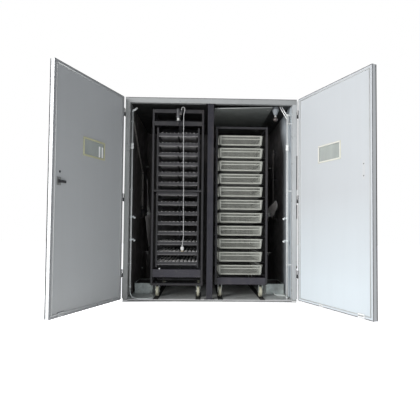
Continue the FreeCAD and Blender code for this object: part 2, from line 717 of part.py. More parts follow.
# ---- heat, water and ceiling ---------------------------------------------
def heater(side):
    """Hairpin heating element on two stand-offs near the rear of a side wall."""
    x = side * (INNER - 30)
    y1, y2 = BACK - 170, BACK - 100
    low, high = 420, 1780
    bend = (y2 - y1) / 2
    arc = Part.Arc(V(x, y1, high), V(x, y1 + bend, high + bend), V(x, y2, high)).toShape()
    legs = [Part.LineSegment(V(x, y1, low), V(x, y1, high)).toShape(), arc,
            Part.LineSegment(V(x, y2, high), V(x, y2, low)).toShape()]
    section = Part.Wire(Part.makeCircle(6, V(x, y1, low), V(0, 0, 1)))
    parts = [Part.Wire(legs).makePipeShell([section], True, False)]
    for z in (low + 40, high - 60):
        parts.append(box(span(side, INNER - 34, INNER), (y1 - 10, y2 + 10), around(z, 6)))
    return fuse(parts)


def water_pan(x):
    return open_box(x, (PAN_FRONT, PAN_FRONT + PAN_DEPTH), (FLOOR, PAN_TOP), PAN_WALL)


def water_pans():
    inlet_x, inlet_y, inlet_z = HOSE_ROUTE[-1]
    inlet = rod(7, (inlet_x, inlet_y, inlet_z), (inlet_x, PAN_FRONT + PAN_WALL, inlet_z))
    save("water_pans", fuse([water_pan(LEFT_PAN_X), inlet]), water_pan(RIGHT_PAN_X))


def spray_pipe(x, low, high, wall_x):
    """Vertical pipe with clips to the wall and two nozzles towards the middle."""
    inward = -1 if x > 0 else 1
    parts = [rod(PIPE_R, (x, PIPE_Y, low), (x, PIPE_Y, high))]
    parts.append(rod(PIPE_R + 5, (x, PIPE_Y, 1722), (x, PIPE_Y, 1782)))
    for z in NOZZLE_Z:
        parts.append(rod(PIPE_R + 4, (x, PIPE_Y, z - 16), (x, PIPE_Y, z + 16)))
        parts.append(rod(7, (x, PIPE_Y, z), (x + inward * 34, PIPE_Y, z)))
        parts.append(rod(10, (x + inward * 34, PIPE_Y, z), (x + inward * 44, PIPE_Y, z)))
    clip_x = tuple(sorted((x, wall_x)))
    for z in (400, 1250, 2040):
        parts.append(box(clip_x, around(PIPE_Y, 6), around(z, 8)))
    return parts


def bent_pipe(radius, route):
    """Round pipe along straight runs, with a ball at each bend."""
    parts = [rod(radius, a, b) for a, b in zip(route, route[1:])]
    parts += [Part.makeSphere(radius, V(*p)) for p in route[1:-1]]
    return parts


def spray_pipes():
    left = spray_pipe(LEFT_PIPE_X, HOSE_ROUTE[0][2], 2166, -INNER)
    elbow_end = (LEFT_PIPE_X + 48, PIPE_Y + 10, 2204)
    left.append(Part.makeSphere(PIPE_R + 1, V(LEFT_PIPE_X, PIPE_Y, 2166)))
    left.append(rod(PIPE_R, (LEFT_PIPE_X, PIPE_Y, 2166), elbow_end))
    right = spray_pipe(RIGHT_PIPE_X, FLOOR, 2150, INNER)
    right.append(rod(PIPE_R, (RIGHT_PIPE_X, PIPE_Y, 2140), (INNER, PIPE_Y, 2140)))
    right += bent_pipe(FEED_R, FEED_ROUTE)
    save("spray_pipes", fuse(left), fuse(right))


def along_baffle(y, low, high):
    """Sloping slab between two heights over the baffle's underside."""
    ends = list(zip(BAFFLE_X, BAFFLE_LOW))
    outline = [V(x, y[0], z + low) for x, z in ends] + [V(x, y[0], z + high) for x, z in ends[::-1]]
    return Part.Face(Part.makePolygon(outline + outline[:1])).extrude(V(0, y[1] - y[0], 0))


def ceiling_fittings():
    """Air baffle over the hatcher, lamp with its holder and two ceiling stays."""
    inside = box((-INNER, INNER), (FRONT, BACK), (FLOOR, CEILING))
    baffle = along_baffle((FRONT + 62, BACK - 300), 0, 2)
    lip = along_baffle((FRONT + 60, FRONT + 62), 0, 10)
    under = along_baffle((FRONT, BACK), -30, 2)
    hangers = [box(around(x, 8), around(y, 8), (BAFFLE_LOW[0], CEILING)).cut(under)
               for x in (80, 670) for y in (FRONT + 140, BACK - 360)]
    lamp_x, lamp_y = 762, FRONT + 130
    holder = Part.makeCone(20, 42, 62, V(lamp_x, lamp_y, 2160))
    base = rod(30, (lamp_x, lamp_y, 2222), (lamp_x, lamp_y, CEILING))
    neck = rod(13, (lamp_x, lamp_y, 2130), (lamp_x, lamp_y, 2160))
    bulb = Part.makeSphere(27, V(lamp_x, lamp_y, 2110))
    lamp = fuse([base, holder, neck, bulb])
    stays = []
    for shift in (0, 24):
        x = 807 + shift
        drop = (INNER - x) * STAY_SLOPE
        past = 5 * STAY_SLOPE
        stay = rod(5, (x - 5, STAY_Y, CEILING + past), (INNER + 5, STAY_Y, CEILING - drop - past))
        stays.append(stay.common(inside))
    save("ceiling_fittings", baffle, lip, *hangers, lamp, *stays)


def control_box():
    """Controller on the right side wall, with its display window and cable gland."""
    y = (FRONT + 420, FRONT + 780)
    body = box((SIDE, SIDE + 120), y, (1250, 1750))
    screen = box((SIDE + 120, SIDE + 124), (y[0] + 60, y[1] - 60), (1560, 1690))
    gland = rod(14, (SIDE + 60, FRONT + 500, 1225), (SIDE + 60, FRONT + 500, 1250))
    save("control_box", fuse([body, screen, gland]))


def cords():
    save("motor_cable", cord_tube("motor_cable", CABLE_ROUTE, CABLE_R))
    x, y, z = CABLE_ROUTE[-1]
    neck = rod(8, (x, y, z - 14), (x, y, z))
    body = box(around(x, 19), around(y, 16), (z - 58, z - 14))
    pins = [box(around(x + s * 9, 3), around(y, 1), (z - 74, z - 58)) for s in (-1, 1)]
    save("cable_plug", fuse([neck, body] + pins))
    save("water_hose", cord_tube("water_hose", HOSE_ROUTE, HOSE_R))


def main():
    os.makedirs("parts", exist_ok=True)
    floor_panel()
    walls()
    front_frame()
    hinges()
    doors()
    setter_trolley()
    hatcher_trolley()
    fans()
    save("heater_tubes", heater(-1), heater(1))
    water_pans()
    spray_pipes()
    ceiling_fittings()
    control_box()
    cords()


main()
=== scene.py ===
"""Looks of the two-door egg incubator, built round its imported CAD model.  Metres, +Z up."""
import json
import math

import bpy
from mathutils import Matrix, Vector
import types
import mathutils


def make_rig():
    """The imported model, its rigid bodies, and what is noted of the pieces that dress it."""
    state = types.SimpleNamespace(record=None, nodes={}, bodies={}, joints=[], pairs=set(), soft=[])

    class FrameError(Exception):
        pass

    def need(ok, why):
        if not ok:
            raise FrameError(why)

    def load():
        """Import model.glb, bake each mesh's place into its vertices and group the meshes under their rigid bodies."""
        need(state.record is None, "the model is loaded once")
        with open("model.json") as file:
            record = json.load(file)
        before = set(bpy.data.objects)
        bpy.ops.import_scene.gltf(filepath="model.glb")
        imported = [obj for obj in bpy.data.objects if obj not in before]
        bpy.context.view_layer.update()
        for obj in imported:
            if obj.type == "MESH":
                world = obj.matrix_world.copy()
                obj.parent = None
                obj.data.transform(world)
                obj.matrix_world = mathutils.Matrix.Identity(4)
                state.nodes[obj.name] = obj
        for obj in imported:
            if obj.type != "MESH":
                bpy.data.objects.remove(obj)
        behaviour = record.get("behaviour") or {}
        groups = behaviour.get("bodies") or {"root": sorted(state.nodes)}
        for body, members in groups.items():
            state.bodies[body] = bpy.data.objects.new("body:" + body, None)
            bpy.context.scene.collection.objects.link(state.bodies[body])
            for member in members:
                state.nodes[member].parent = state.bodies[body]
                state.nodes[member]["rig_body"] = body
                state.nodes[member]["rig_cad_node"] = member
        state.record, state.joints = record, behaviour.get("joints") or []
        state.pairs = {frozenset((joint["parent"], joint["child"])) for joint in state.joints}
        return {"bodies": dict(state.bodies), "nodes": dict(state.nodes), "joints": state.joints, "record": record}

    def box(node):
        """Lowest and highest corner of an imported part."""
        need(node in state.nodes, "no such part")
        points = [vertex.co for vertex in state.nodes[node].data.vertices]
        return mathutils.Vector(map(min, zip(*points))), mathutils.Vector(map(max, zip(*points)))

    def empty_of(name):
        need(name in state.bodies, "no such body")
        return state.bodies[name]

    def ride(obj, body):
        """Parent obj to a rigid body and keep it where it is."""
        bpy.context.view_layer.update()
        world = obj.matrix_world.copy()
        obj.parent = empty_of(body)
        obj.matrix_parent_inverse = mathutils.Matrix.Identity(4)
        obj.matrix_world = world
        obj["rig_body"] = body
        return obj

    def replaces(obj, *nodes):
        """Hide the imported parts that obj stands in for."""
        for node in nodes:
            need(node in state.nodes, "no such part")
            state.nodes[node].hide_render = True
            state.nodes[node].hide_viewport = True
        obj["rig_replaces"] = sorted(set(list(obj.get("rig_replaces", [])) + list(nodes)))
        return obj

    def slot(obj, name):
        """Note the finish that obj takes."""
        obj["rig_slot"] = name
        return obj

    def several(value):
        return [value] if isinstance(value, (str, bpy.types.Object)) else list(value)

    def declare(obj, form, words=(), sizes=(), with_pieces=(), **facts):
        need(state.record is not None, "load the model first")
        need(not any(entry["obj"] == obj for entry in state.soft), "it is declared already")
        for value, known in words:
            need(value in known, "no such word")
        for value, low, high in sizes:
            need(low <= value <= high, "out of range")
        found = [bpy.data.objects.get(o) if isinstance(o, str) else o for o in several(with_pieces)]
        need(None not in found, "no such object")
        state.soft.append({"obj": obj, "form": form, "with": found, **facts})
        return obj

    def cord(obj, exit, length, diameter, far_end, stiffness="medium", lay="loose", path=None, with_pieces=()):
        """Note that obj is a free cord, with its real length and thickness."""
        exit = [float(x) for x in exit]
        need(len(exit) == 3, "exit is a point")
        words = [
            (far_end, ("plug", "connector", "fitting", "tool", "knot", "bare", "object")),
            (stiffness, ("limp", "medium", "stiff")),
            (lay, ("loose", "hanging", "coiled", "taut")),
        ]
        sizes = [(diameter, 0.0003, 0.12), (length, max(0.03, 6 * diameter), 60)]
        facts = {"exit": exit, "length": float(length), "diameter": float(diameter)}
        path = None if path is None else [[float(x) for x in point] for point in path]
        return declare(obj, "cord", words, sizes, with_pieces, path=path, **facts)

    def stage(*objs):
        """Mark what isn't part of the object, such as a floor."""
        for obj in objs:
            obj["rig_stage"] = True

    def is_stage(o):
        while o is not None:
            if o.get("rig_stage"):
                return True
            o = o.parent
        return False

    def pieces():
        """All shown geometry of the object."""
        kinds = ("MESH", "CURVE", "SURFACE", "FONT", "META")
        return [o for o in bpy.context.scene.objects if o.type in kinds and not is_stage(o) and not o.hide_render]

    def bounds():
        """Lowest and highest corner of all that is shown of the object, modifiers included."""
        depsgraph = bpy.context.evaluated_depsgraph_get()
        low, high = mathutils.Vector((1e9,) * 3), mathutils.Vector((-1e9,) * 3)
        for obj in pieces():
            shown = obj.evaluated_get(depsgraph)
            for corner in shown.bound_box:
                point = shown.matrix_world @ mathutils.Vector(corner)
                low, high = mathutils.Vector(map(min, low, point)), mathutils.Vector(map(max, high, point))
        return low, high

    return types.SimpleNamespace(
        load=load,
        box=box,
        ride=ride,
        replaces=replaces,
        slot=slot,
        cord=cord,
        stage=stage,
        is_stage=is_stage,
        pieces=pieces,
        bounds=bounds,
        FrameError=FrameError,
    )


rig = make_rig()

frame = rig.load()
CAD_BOX = [list(corner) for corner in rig.bounds()]
SIZE_FILE = "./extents.json"

# ---- driving sizes -------------------------------------------------------
PLINTH = 0.022          # every height below is measured from the top of the plinth
FRONT, REAR = -0.700, 0.700
FRAME_BACK = FRONT + 0.050
OUTER_X, INNER_X = 0.98, 0.93
FLOOR = 0.008
TRACK = FLOOR + 0.003
HEADER_LOW, HEADER_HIGH = 2.241, 2.300
CEILING_Z = 2.250
WHEEL_R, WHEEL_IN = 0.060, 0.055
FAN_Y, FAN_Z = 0.170, 1.010
PAN_Y, PAN_Z = (-0.360, 0.0), (FLOOR, 0.137)
LEFT_PAN_X, RIGHT_PAN_X = (-0.907, -0.690), (0.700, 0.916)
HINGE_X, HINGE_Y = 0.992, -0.722
HINGE_HEIGHTS, HINGE_HALF = (0.300, 1.150, 2.120), 0.045
OPEN_ANGLE = math.radians(115)
DOOR_EDGE, DOOR_MEET = 0.972, 0.003
DOOR_LOW, DOOR_HIGH = 0.014, 2.288
DOOR_IN, DOOR_OUT = -0.710, -0.760
WINDOW_REACH, WINDOW_Z = 0.476, 1.593
WINDOW_HALF_W, WINDOW_HALF_H = 0.136, 0.075
LOCK_REACH, LOCK_Z = 0.915, 1.215
FOOT_CATCHES = ((0.365, 0.024, 0.026), (0.860, 0.036, 0.042))
LAYERS, BASKETS = 14, 11
RIB_HALF = 0.0017
SIDES = (-1, 1)
TUBE = 0.025
TROLLEY_FRONT = -0.580
SETTER_X = -0.386       # middle of the setter trolley, where its layers pivot
SETTER_MID, SETTER_BACK, HATCHER_BACK = -0.159, 0.280, 0.380
SETTER_DECK, HATCHER_DECK = 0.145, 0.161
SETTER_TOP, HATCHER_TOP = 2.208, 2.011
TRAY_FRONT, TRAY_DEPTH, TRAY_GAP = -0.548, 0.370, 0.046
WHEEL_INSET = 0.017     # from a wheel's outer side to its middle
LEFT_PIPE_X, RIGHT_PIPE_X = -0.912, 0.889
PIPE_Y = FRONT + 0.072
BASKET_WALL = 0.108     # height of a basket's rim over its foot


def box_of(node):
    """Lowest and highest corners of a CAD node, with heights from the plinth's top."""
    low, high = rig.box(node)
    lift = Vector((0, 0, PLINTH))
    return Vector(low) - lift, Vector(high) - lift


def lifted(point):
    return (point[0], point[1], point[2] + PLINTH)


def around(centre, half):
    return (centre - half, centre + half)


def span(side, low, high):
    """Range from low to high, mirrored for the left side."""
    return tuple(sorted((side * low, side * high)))


def reach_from(face, depth):
    """Range between a face and the plane that lies depth from it."""
    return tuple(sorted((face, face + depth)))


def inset(limits, depth):
    return (limits[0] + depth, limits[1] - depth)


def turns(count, start=0.0):
    """Cosine and sine of count equal steps round a circle."""
    angles = [start + 2 * math.pi * i / count for i in range(count)]
    return [(math.cos(a), math.sin(a)) for a in angles]


def superellipse(value):
    """Squares off a circle's coordinate."""
    return math.copysign(abs(value) ** 0.6, value)


# ---- mesh kit ------------------------------------------------------------
CORNERS = [(i, j, k) for i in (0, 1) for j in (0, 1) for k in (0, 1)]


class Kit:
    """Gathers boxes, rods and skins into one mesh that can hold several materials."""

    def __init__(self):
        self.points = []
        self.faces = []
        self.paint = []
        self.smooth = []
        self.materials = []

    def add(self, points, faces, material, smooth=False):
        if material not in self.materials:
            self.materials.append(material)
        first = len(self.points)
        self.points += [Vector(p) for p in points]
        self.faces += [[first + i for i in face] for face in faces]
        self.paint += [self.materials.index(material)] * len(faces)
        self.smooth += [smooth] * len(faces)
        return first

    def box(self, x, y, z, material, edge=0.0):
        """Box from three (low, high) pairs; edge is the width of its chamfers."""
        low = Vector((x[0], y[0], z[0]))
        high = Vector((x[1], y[1], z[1]))
        edge = min([edge] + [(high[i] - low[i]) * 0.45 for i in range(3)])
        if edge <= 0:
            points = [(x[i], y[j], z[k]) for i, j, k in CORNERS]
            faces = [(0, 1, 3, 2), (4, 6, 7, 5), (0, 4, 5, 1), (2, 3, 7, 6), (0, 2, 6, 4), (1, 5, 7, 3)]
            return self.add(points, faces, material)
        points, index = [], {}
        for corner in CORNERS:
            for axis in range(3):
                p = [(low, high)[corner[a]][a] for a in range(3)]
                for other in range(3):
                    if other != axis:
                        p[other] += edge if corner[other] == 0 else -edge
                index[corner, axis] = len(points)
                points.append(p)
        faces = []
        for axis in range(3):
            u, v = (axis + 1) % 3, (axis + 2) % 3
            for side in (0, 1):
                loop = []
                for a, b in ((0, 0), (1, 0), (1, 1), (0, 1)):
                    corner = [0, 0, 0]
                    corner[axis], corner[u], corner[v] = side, a, b
                    loop.append(index[tuple(corner), axis])
                faces.append(loop if side else loop[::-1])
            for a in (0, 1):
                for b in (0, 1):
                    ends = []
                    for w in (0, 1):
                        corner = [0, 0, 0]
                        corner[axis], corner[u], corner[v] = w, a, b
                        ends.append(tuple(corner))
                    quad = [index[ends[0], u], index[ends[1], u], index[ends[1], v], index[ends[0], v]]
                    faces.append(quad if a == b else quad[::-1])
        for corner in CORNERS:
            tri = [index[corner, axis] for axis in range(3)]
            faces.append(tri if sum(corner) % 2 else tri[::-1])
        return self.add(points, faces, material)

    def rings(self, loops, material, caps=(True, True), smooth=True, closed=False):
        """Skin through loops of equal length; closed joins the last loop to the first."""
        n = len(loops[0])
        points = [p for loop in loops for p in loop]
        faces = []
        pairs = len(loops) if closed else len(loops) - 1
        for i in range(pairs):
            a, b = i * n, ((i + 1) % len(loops)) * n
            for j in range(n):
                k = (j + 1) % n
                faces.append((a + j, a + k, b + k, b + j))
        first = self.add(points, faces, material, smooth)
        if not closed:
            for wanted, base, flip in ((caps[0], 0, True), (caps[1], (len(loops) - 1) * n, False)):
                if wanted:
                    face = [first + base + j for j in range(n)]
                    self.faces.append(face[::-1] if flip else face)
                    self.paint.append(self.materials.index(material))
                    self.smooth.append(False)
        return first

    def lathe(self, start, axis, profile, material, sides=24, caps=(True, True)):
        """Turned shape: profile is (distance along axis, radius) from start."""
        axis = Vector(axis).normalized()
        side = axis.orthogonal().normalized()
        other = axis.cross(side)
        loops = []
        for along, radius in profile:
            centre = Vector(start) + axis * along
            loops.append([centre + (side * c + other * s) * radius for c, s in turns(sides)])
        return self.rings(loops, material, caps)

    def rod(self, start, end, radius, material, sides=16, edge=0.0):
        run = Vector(end) - Vector(start)
        edge = min(edge, radius * 0.5, run.length * 0.4)
        profile = [(0, radius), (run.length, radius)]
        if edge > 0:
            profile = [(0, radius - edge), (edge, radius), (run.length - edge, radius),
                       (run.length, radius - edge)]
        return self.lathe(start, run, profile, material, sides)

    def sweep(self, path, radius, material, sides=12):
        """Round bar along a list of points."""
        path = [Vector(p) for p in path]
        loops = []
        side = None
        for i, p in enumerate(path):
            along = (path[min(i + 1, len(path) - 1)] - path[max(i - 1, 0)]).normalized()
            side = along.orthogonal() if side is None else side - along * side.dot(along)
            side.normalize()
            other = along.cross(side)
            loops.append([p + (side * c + other * s) * radius for c, s in turns(sides)])
        return self.rings(loops, material)

    def bolt(self, at, axis, radius, material):
        """Hexagon head with a washer."""
        self.lathe(at, axis, [(0, radius * 1.5), (0.0012, radius * 1.5)], material, 16)
        self.lathe(Vector(at) + Vector(axis).normalized() * 0.001, axis,
                   [(0, radius), (radius * 0.6, radius), (radius * 0.75, radius * 0.8)], material, 6)

    def rivet(self, at, axis, material, radius=0.0035):
        self.lathe(at, axis, [(0, radius), (radius * 0.35, radius * 0.8), (radius * 0.5, radius * 0.35)],
                   material, 10)

    def rivets(self, first, last, count, axis, material, radius=0.0035):
        """Even row of rivets between two points."""
        for i in range(count):
            self.rivet(Vector(first).lerp(Vector(last), i / (count - 1)), axis, material, radius)

    def move(self, matrix):
        self.points = [matrix @ p for p in self.points]

    def take(self, other):
        """Adds the faces of another kit, each with points of its own."""
        for face, paint in zip(other.faces, other.paint):
            self.add([other.points[i] for i in face], [list(range(len(face)))], other.materials[paint])

    def make(self, name, body, slot, replaces=()):
        mesh = bpy.data.meshes.new(name)
        mesh.from_pydata([lifted(p) for p in self.points], [], self.faces)
        for material in self.materials:
            mesh.materials.append(material)
        mesh.polygons.foreach_set("material_index", self.paint)
        mesh.polygons.foreach_set("use_smooth", self.smooth)
        mesh.update()
        piece = bpy.data.objects.new(name, mesh)
        bpy.context.scene.collection.objects.link(piece)
        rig.ride(piece, body)
        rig.slot(piece, slot)
        if replaces:
            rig.replaces(piece, *replaces)
        return piece


# ---- materials -----------------------------------------------------------
class Look:
    """One procedural material, built up from noise in object space."""

    def __init__(self, name, metallic=0.0, **sockets):
        self.material = bpy.data.materials.new(name)
        self.material.use_nodes = True
        self.tree = self.material.node_tree
        self.shader = self.tree.nodes["Principled BSDF"]
        self.shader.inputs["Metallic"].default_value = metallic
        for socket, value in sockets.items():
            self.shader.inputs[socket.replace("_", " ")].default_value = value
        self.coordinates = self.tree.nodes.new("ShaderNodeTexCoord").outputs["Object"]

    def node(self, kind, **values):
        node = self.tree.nodes.new(kind)
        for key, value in values.items():
            if key in node.inputs:
                node.inputs[key].default_value = value
            else:
                setattr(node, key, value)
        return node

    def link(self, out, into):
        self.tree.links.new(out, into)

    def stretched(self, stretch):
        mapping = self.node("ShaderNodeMapping", Scale=stretch)
        self.link(self.coordinates, mapping.inputs["Vector"])
        return mapping.outputs["Vector"]

    def noise(self, scale, detail=4.0, stretch=(1, 1, 1), roughness=0.55):
        node = self.node("ShaderNodeTexNoise", Scale=scale, Detail=detail, Roughness=roughness)
        self.link(self.stretched(stretch), node.inputs["Vector"])
        return node.outputs["Fac"]

    def remap(self, value, low, high, to_low, to_high):
        node = self.node("ShaderNodeMapRange")
        for socket, number in zip(("From Min", "From Max", "To Min", "To Max"), (low, high, to_low, to_high)):
            node.inputs[socket].default_value = number
        self.link(value, node.inputs["Value"])
        return node.outputs["Result"]

    def times(self, a, b):
        node = self.node("ShaderNodeMath", operation="MULTIPLY")
        self.link(a, node.inputs[0])
        self.link(b, node.inputs[1])
        return node.outputs[0]

    def blend(self, share, low, high):
        """Colour between low and high; each is a colour or an output."""
        node = self.node("ShaderNodeMix", data_type="RGBA")
        self.link(share, node.inputs[0])
        for socket, value in ((node.inputs[6], low), (node.inputs[7], high)):
            if isinstance(value, bpy.types.NodeSocket):
                self.link(value, socket)
            else:
                socket.default_value = (*value, 1)
        return node.outputs[2]

    def height(self, low, high):
        """0 below the height low, 1 above high."""
        split = self.node("ShaderNodeSeparateXYZ")
        self.link(self.coordinates, split.inputs[0])
        return self.remap(split.outputs["Z"], low, high, 0, 1)

    def ahead(self, low, high, rise=0.0):
        """0 in front of the Y low, 1 behind high, both pushed back by rise at the ceiling."""
        split = self.node("ShaderNodeSeparateXYZ")
        self.link(self.coordinates, split.inputs[0])
        along = split.outputs["Y"]
        if rise:
            back = self.node("ShaderNodeMath", operation="SUBTRACT")
            self.link(along, back.inputs[0])
            self.link(self.remap(split.outputs["Z"], 1.80, 2.25, 0, rise), back.inputs[1])
            along = back.outputs[0]
        return self.remap(along, low, high, 0, 1)

    def colour(self, output):
        self.link(output, self.shader.inputs["Base Color"])

    def rough(self, low, high, scale, stretch=(1, 1, 1)):
        self.link(self.remap(self.noise(scale, 5, stretch), 0.3, 0.7, low, high),
                  self.shader.inputs["Roughness"])

    def bump(self, height, depth, strength=1.0):
        node = self.node("ShaderNodeBump", Strength=strength, Distance=depth)
        self.link(height, node.inputs["Height"])
        self.link(node.outputs["Normal"], self.shader.inputs["Normal"])


def shade(colour, factor):
    return tuple(min(1.0, c * factor) for c in colour)


def coated(name, colour, rough=0.4, metallic=0.0, mottle=0.08, grime=0.0, grime_colour=(0.16, 0.13, 0.10),
           streak=0.0, grain=260.0, depth=0.00015, floor_dirt=0.0, deep=None, shade_span=(0, 1), rise=0.0,
           uneven=0.10, foot=None):
    """Painted, powder coated or plain moulded surface with smudges, streaks and dirt.

    deep is the colour that the surface darkens to over the given depth range towards the rear, a painted shade; rise
    carries that darkening further back near the ceiling.  foot is the colour low down, a painted light."""
    look = Look(name, metallic)
    base = look.blend(look.remap(look.noise(3.2, 6), 0.3, 0.7, 0, 1), shade(colour, 1 - mottle),
                      shade(colour, 1 + mottle))
    base = look.blend(look.remap(look.noise(46, 5), 0.35, 0.75, 0, 0.35), base, shade(colour, 1 - 2 * mottle))
    if deep:
        base = look.blend(look.ahead(*shade_span, rise), base, deep)
    if foot:
        base = look.blend(look.height(0.3, 1.2), foot, base)
    if streak:
        run = look.remap(look.noise(9, 4, (1, 1, 0.06)), 0.5, 0.72, 0, streak)
        base = look.blend(run, base, grime_colour)
    if grime:
        spots = look.remap(look.noise(21, 7, roughness=0.7), 0.56, 0.78, 0, grime)
        base = look.blend(spots, base, grime_colour)
    if floor_dirt:
        low = look.times(look.remap(look.height(0.0, 0.22), 0, 1, floor_dirt, 0),
                         look.remap(look.noise(14, 6), 0.3, 0.7, 0.3, 1))
        base = look.blend(low, base, grime_colour)
    look.colour(base)
    look.rough(rough - uneven, rough + uneven, 11)
    look.bump(look.noise(grain, 3), depth)
    return look.material


def brushed(name, colour, rough=0.34, stretch=(1, 1, 60), scale=24, mottle=0.1):
    """Drawn or brushed bare metal: fine lines along one axis."""
    look = Look(name, 1.0)
    lines = look.noise(scale, 5, stretch)
    base = look.blend(look.remap(lines, 0.3, 0.7, 0, 1), shade(colour, 1 - mottle), shade(colour, 1 + mottle))
    base = look.blend(look.remap(look.noise(6, 5), 0.5, 0.8, 0, 0.4), base, shade(colour, 0.72))
    look.colour(base)
    look.link(look.remap(lines, 0.3, 0.7, rough - 0.1, rough + 0.12), look.shader.inputs["Roughness"])
    look.bump(lines, 0.00008)
    return look.material


def spangled(name, colour, rough=0.38, cell=42.0, dirt=0.25, metallic=0.85):
    """Galvanised sheet: crystals of slightly different tone, with dull marks."""
    look = Look(name, metallic)
    cells = look.node("ShaderNodeTexVoronoi", Scale=cell)
    look.link(look.coordinates, cells.inputs["Vector"])
    tone = look.node("ShaderNodeSeparateColor")
    look.link(cells.outputs["Color"], tone.inputs[0])
    base = look.blend(tone.outputs[0], shade(colour, 0.86), shade(colour, 1.12))
    base = look.blend(look.remap(look.noise(7, 6), 0.48, 0.75, 0, dirt), base, (0.20, 0.19, 0.16))
    look.colour(base)
    look.link(look.remap(tone.outputs[1], 0, 1, rough - 0.08, rough + 0.1), look.shader.inputs["Roughness"])
    look.bump(look.noise(90, 3), 0.0002)
    return look.material


def glazing():
    look = Look("window_glass", 0.0, Transmission_Weight=0.55, IOR=1.45)
    haze = look.remap(look.noise(7, 5, (1, 1, 0.35)), 0.35, 0.7, 0, 1)
    look.colour(look.blend(haze, (0.56, 0.60, 0.57), (0.74, 0.77, 0.74)))
    look.rough(0.06, 0.2, 18)
    look.bump(look.noise(6, 2), 0.0004)
    return look.material


DUST = (0.42, 0.38, 0.30)
CABINET_OUT = coated("cabinet_outside_steel", (0.66, 0.68, 0.68), 0.36, mottle=0.02, streak=0.06,
                     floor_dirt=0.3)
# Inside steel of the left and rear walls: its dark tone and its darkening to near black towards the rear are painted
# shade of the deep cabinet; grime, streaks and floor dirt are real marks.
CABINET_IN_SHADED = coated("cabinet_inside_steel_painted_shade", (0.22, 0.23, 0.23), 0.42, 0.0, 0.08, grime=0.2, streak=0.2,
                    floor_dirt=0.3, deep=(0.055, 0.050, 0.050), shade_span=(-0.66, -0.42))
# Inside steel of the right wall, a lit copy of the inside steel: its pale blue-grey front, reaching further back near
# the ceiling, is painted light from the door opening, and its darkening to near black towards the rear is painted
# shade.
RIGHT_IN_LIT = coated("right_wall_inside_steel", (0.54, 0.59, 0.63), 0.42, 0.0, 0.05, grime=0.12, streak=0.1,
                  floor_dirt=0.1, deep=(0.052, 0.050, 0.052), shade_span=(-0.52, -0.22), rise=0.22)
# Ceiling sheet: its near-black tone and its darkening towards the rear are painted shade of the cabinet's top; the
# grime is real dirt.
CEILING_SHADED = coated("ceiling_steel_painted_shade", (0.020, 0.021, 0.021), 0.5, 0.0, 0.08, grime=0.2,
                 deep=(0.022, 0.022, 0.022), shade_span=(-0.66, 0.30))
# The two jambs are lit and shaded copies of one frame steel: the right one paler and bluer as painted light, the left
# one darker as painted shade.
RIGHT_JAMB_LIT = coated("right_jamb_steel_painted_light", (0.42, 0.435, 0.44), 0.34, 0.05, 0.03, grime=0.10, floor_dirt=0.1)
LEFT_JAMB_SHADED = coated("left_jamb_steel_painted_shade", (0.31, 0.318, 0.312), 0.34, 0.05, 0.03, grime=0.10, floor_dirt=0.3)
HEADER = coated("header_steel", (0.275, 0.282, 0.28), 0.34, 0.05, 0.03, grime=0.10)
SEAM = coated("seam_sealant", (0.060, 0.060, 0.062), 0.5, mottle=0.15)
# Near-black strips round the door edges: painted shadow along the edges.
OUTLINE_SHADOW = coated("door_edge_sealant", (0.016, 0.016, 0.017), 0.6, mottle=0.15)
RIM = coated("baffle_rim_steel", (0.24, 0.25, 0.245), 0.5, 0.1, 0.06, grime=0.15)
# Baffle sheet: its darkening towards the rear is painted shade; the grime is real dirt.
BAFFLE = coated("baffle_sheet_shaded_to_rear", (0.20, 0.21, 0.20), 0.5, 0.1, 0.08, grime=0.2, deep=(0.07, 0.075, 0.07),
                shade_span=(-0.6, 0.1))
POST = coated("centre_post_steel", (0.018, 0.0175, 0.024), 0.42, 0.2, 0.12, grime=0.25, streak=0.2)
SILL = coated("sill_steel", (0.60, 0.60, 0.59), 0.4, 0.05, 0.06, grime=0.2)
# The doors' inner sheets and edge trims are lit and shaded copies of one paint: the left door's darker as painted
# shade, the right door's paler and bluer as painted light, with a paler blue foot on the right sheet as painted light
# low down.
LEFT_SHEET_SHADED = coated("left_door_inner_sheet", (0.400, 0.410, 0.412), 0.44, 0.0, 0.012, grime=0.02, streak=0.03,
                    floor_dirt=0.15, uneven=0.02)
LEFT_LIP_SHADED = coated("left_door_edge_trim", (0.46, 0.47, 0.475), 0.40, 0.0, 0.02, grime=0.05, uneven=0.03)
RIGHT_SHEET_LIT = coated("right_door_inner_sheet", (0.475, 0.495, 0.510), 0.44, 0.0, 0.010, grime=0.02,
                     streak=0.03, uneven=0.02, foot=(0.575, 0.625, 0.655))
RIGHT_LIP_LIT = coated("right_door_edge_trim", (0.50, 0.515, 0.535), 0.40, 0.0, 0.02, grime=0.05, uneven=0.03)
DOOR_LIP = coated("door_edge_trim", (0.50, 0.51, 0.515), 0.40, 0.0, 0.02, grime=0.05, uneven=0.03)
DOOR_SKIN = coated("door_outer_skin", (0.46, 0.48, 0.485), 0.40, mottle=0.015, streak=0.04, floor_dirt=0.2,
                   uneven=0.03)
ALUMINIUM = brushed("edge_aluminium", (0.58, 0.59, 0.58))
HINGE = brushed("hinge_steel", (0.055, 0.055, 0.058), 0.5)
SEALANT = coated("window_sealant", (0.50, 0.49, 0.31), 0.55, mottle=0.14, grime=0.3, grain=120, depth=0.0006)
BEZEL = coated("window_bezel_plastic", (0.66, 0.65, 0.60), 0.4, mottle=0.05, grime=0.15)
GASKET = coated("door_gasket_rubber", (0.46, 0.47, 0.465), 0.62, mottle=0.06, grime=0.12, grain=420)
GLASS = glazing()
LOCK = brushed("lock_case_steel", (0.28, 0.28, 0.27), 0.42)
LEVER = coated("lever_plastic", (0.020, 0.020, 0.022), 0.42, mottle=0.2, grain=500)
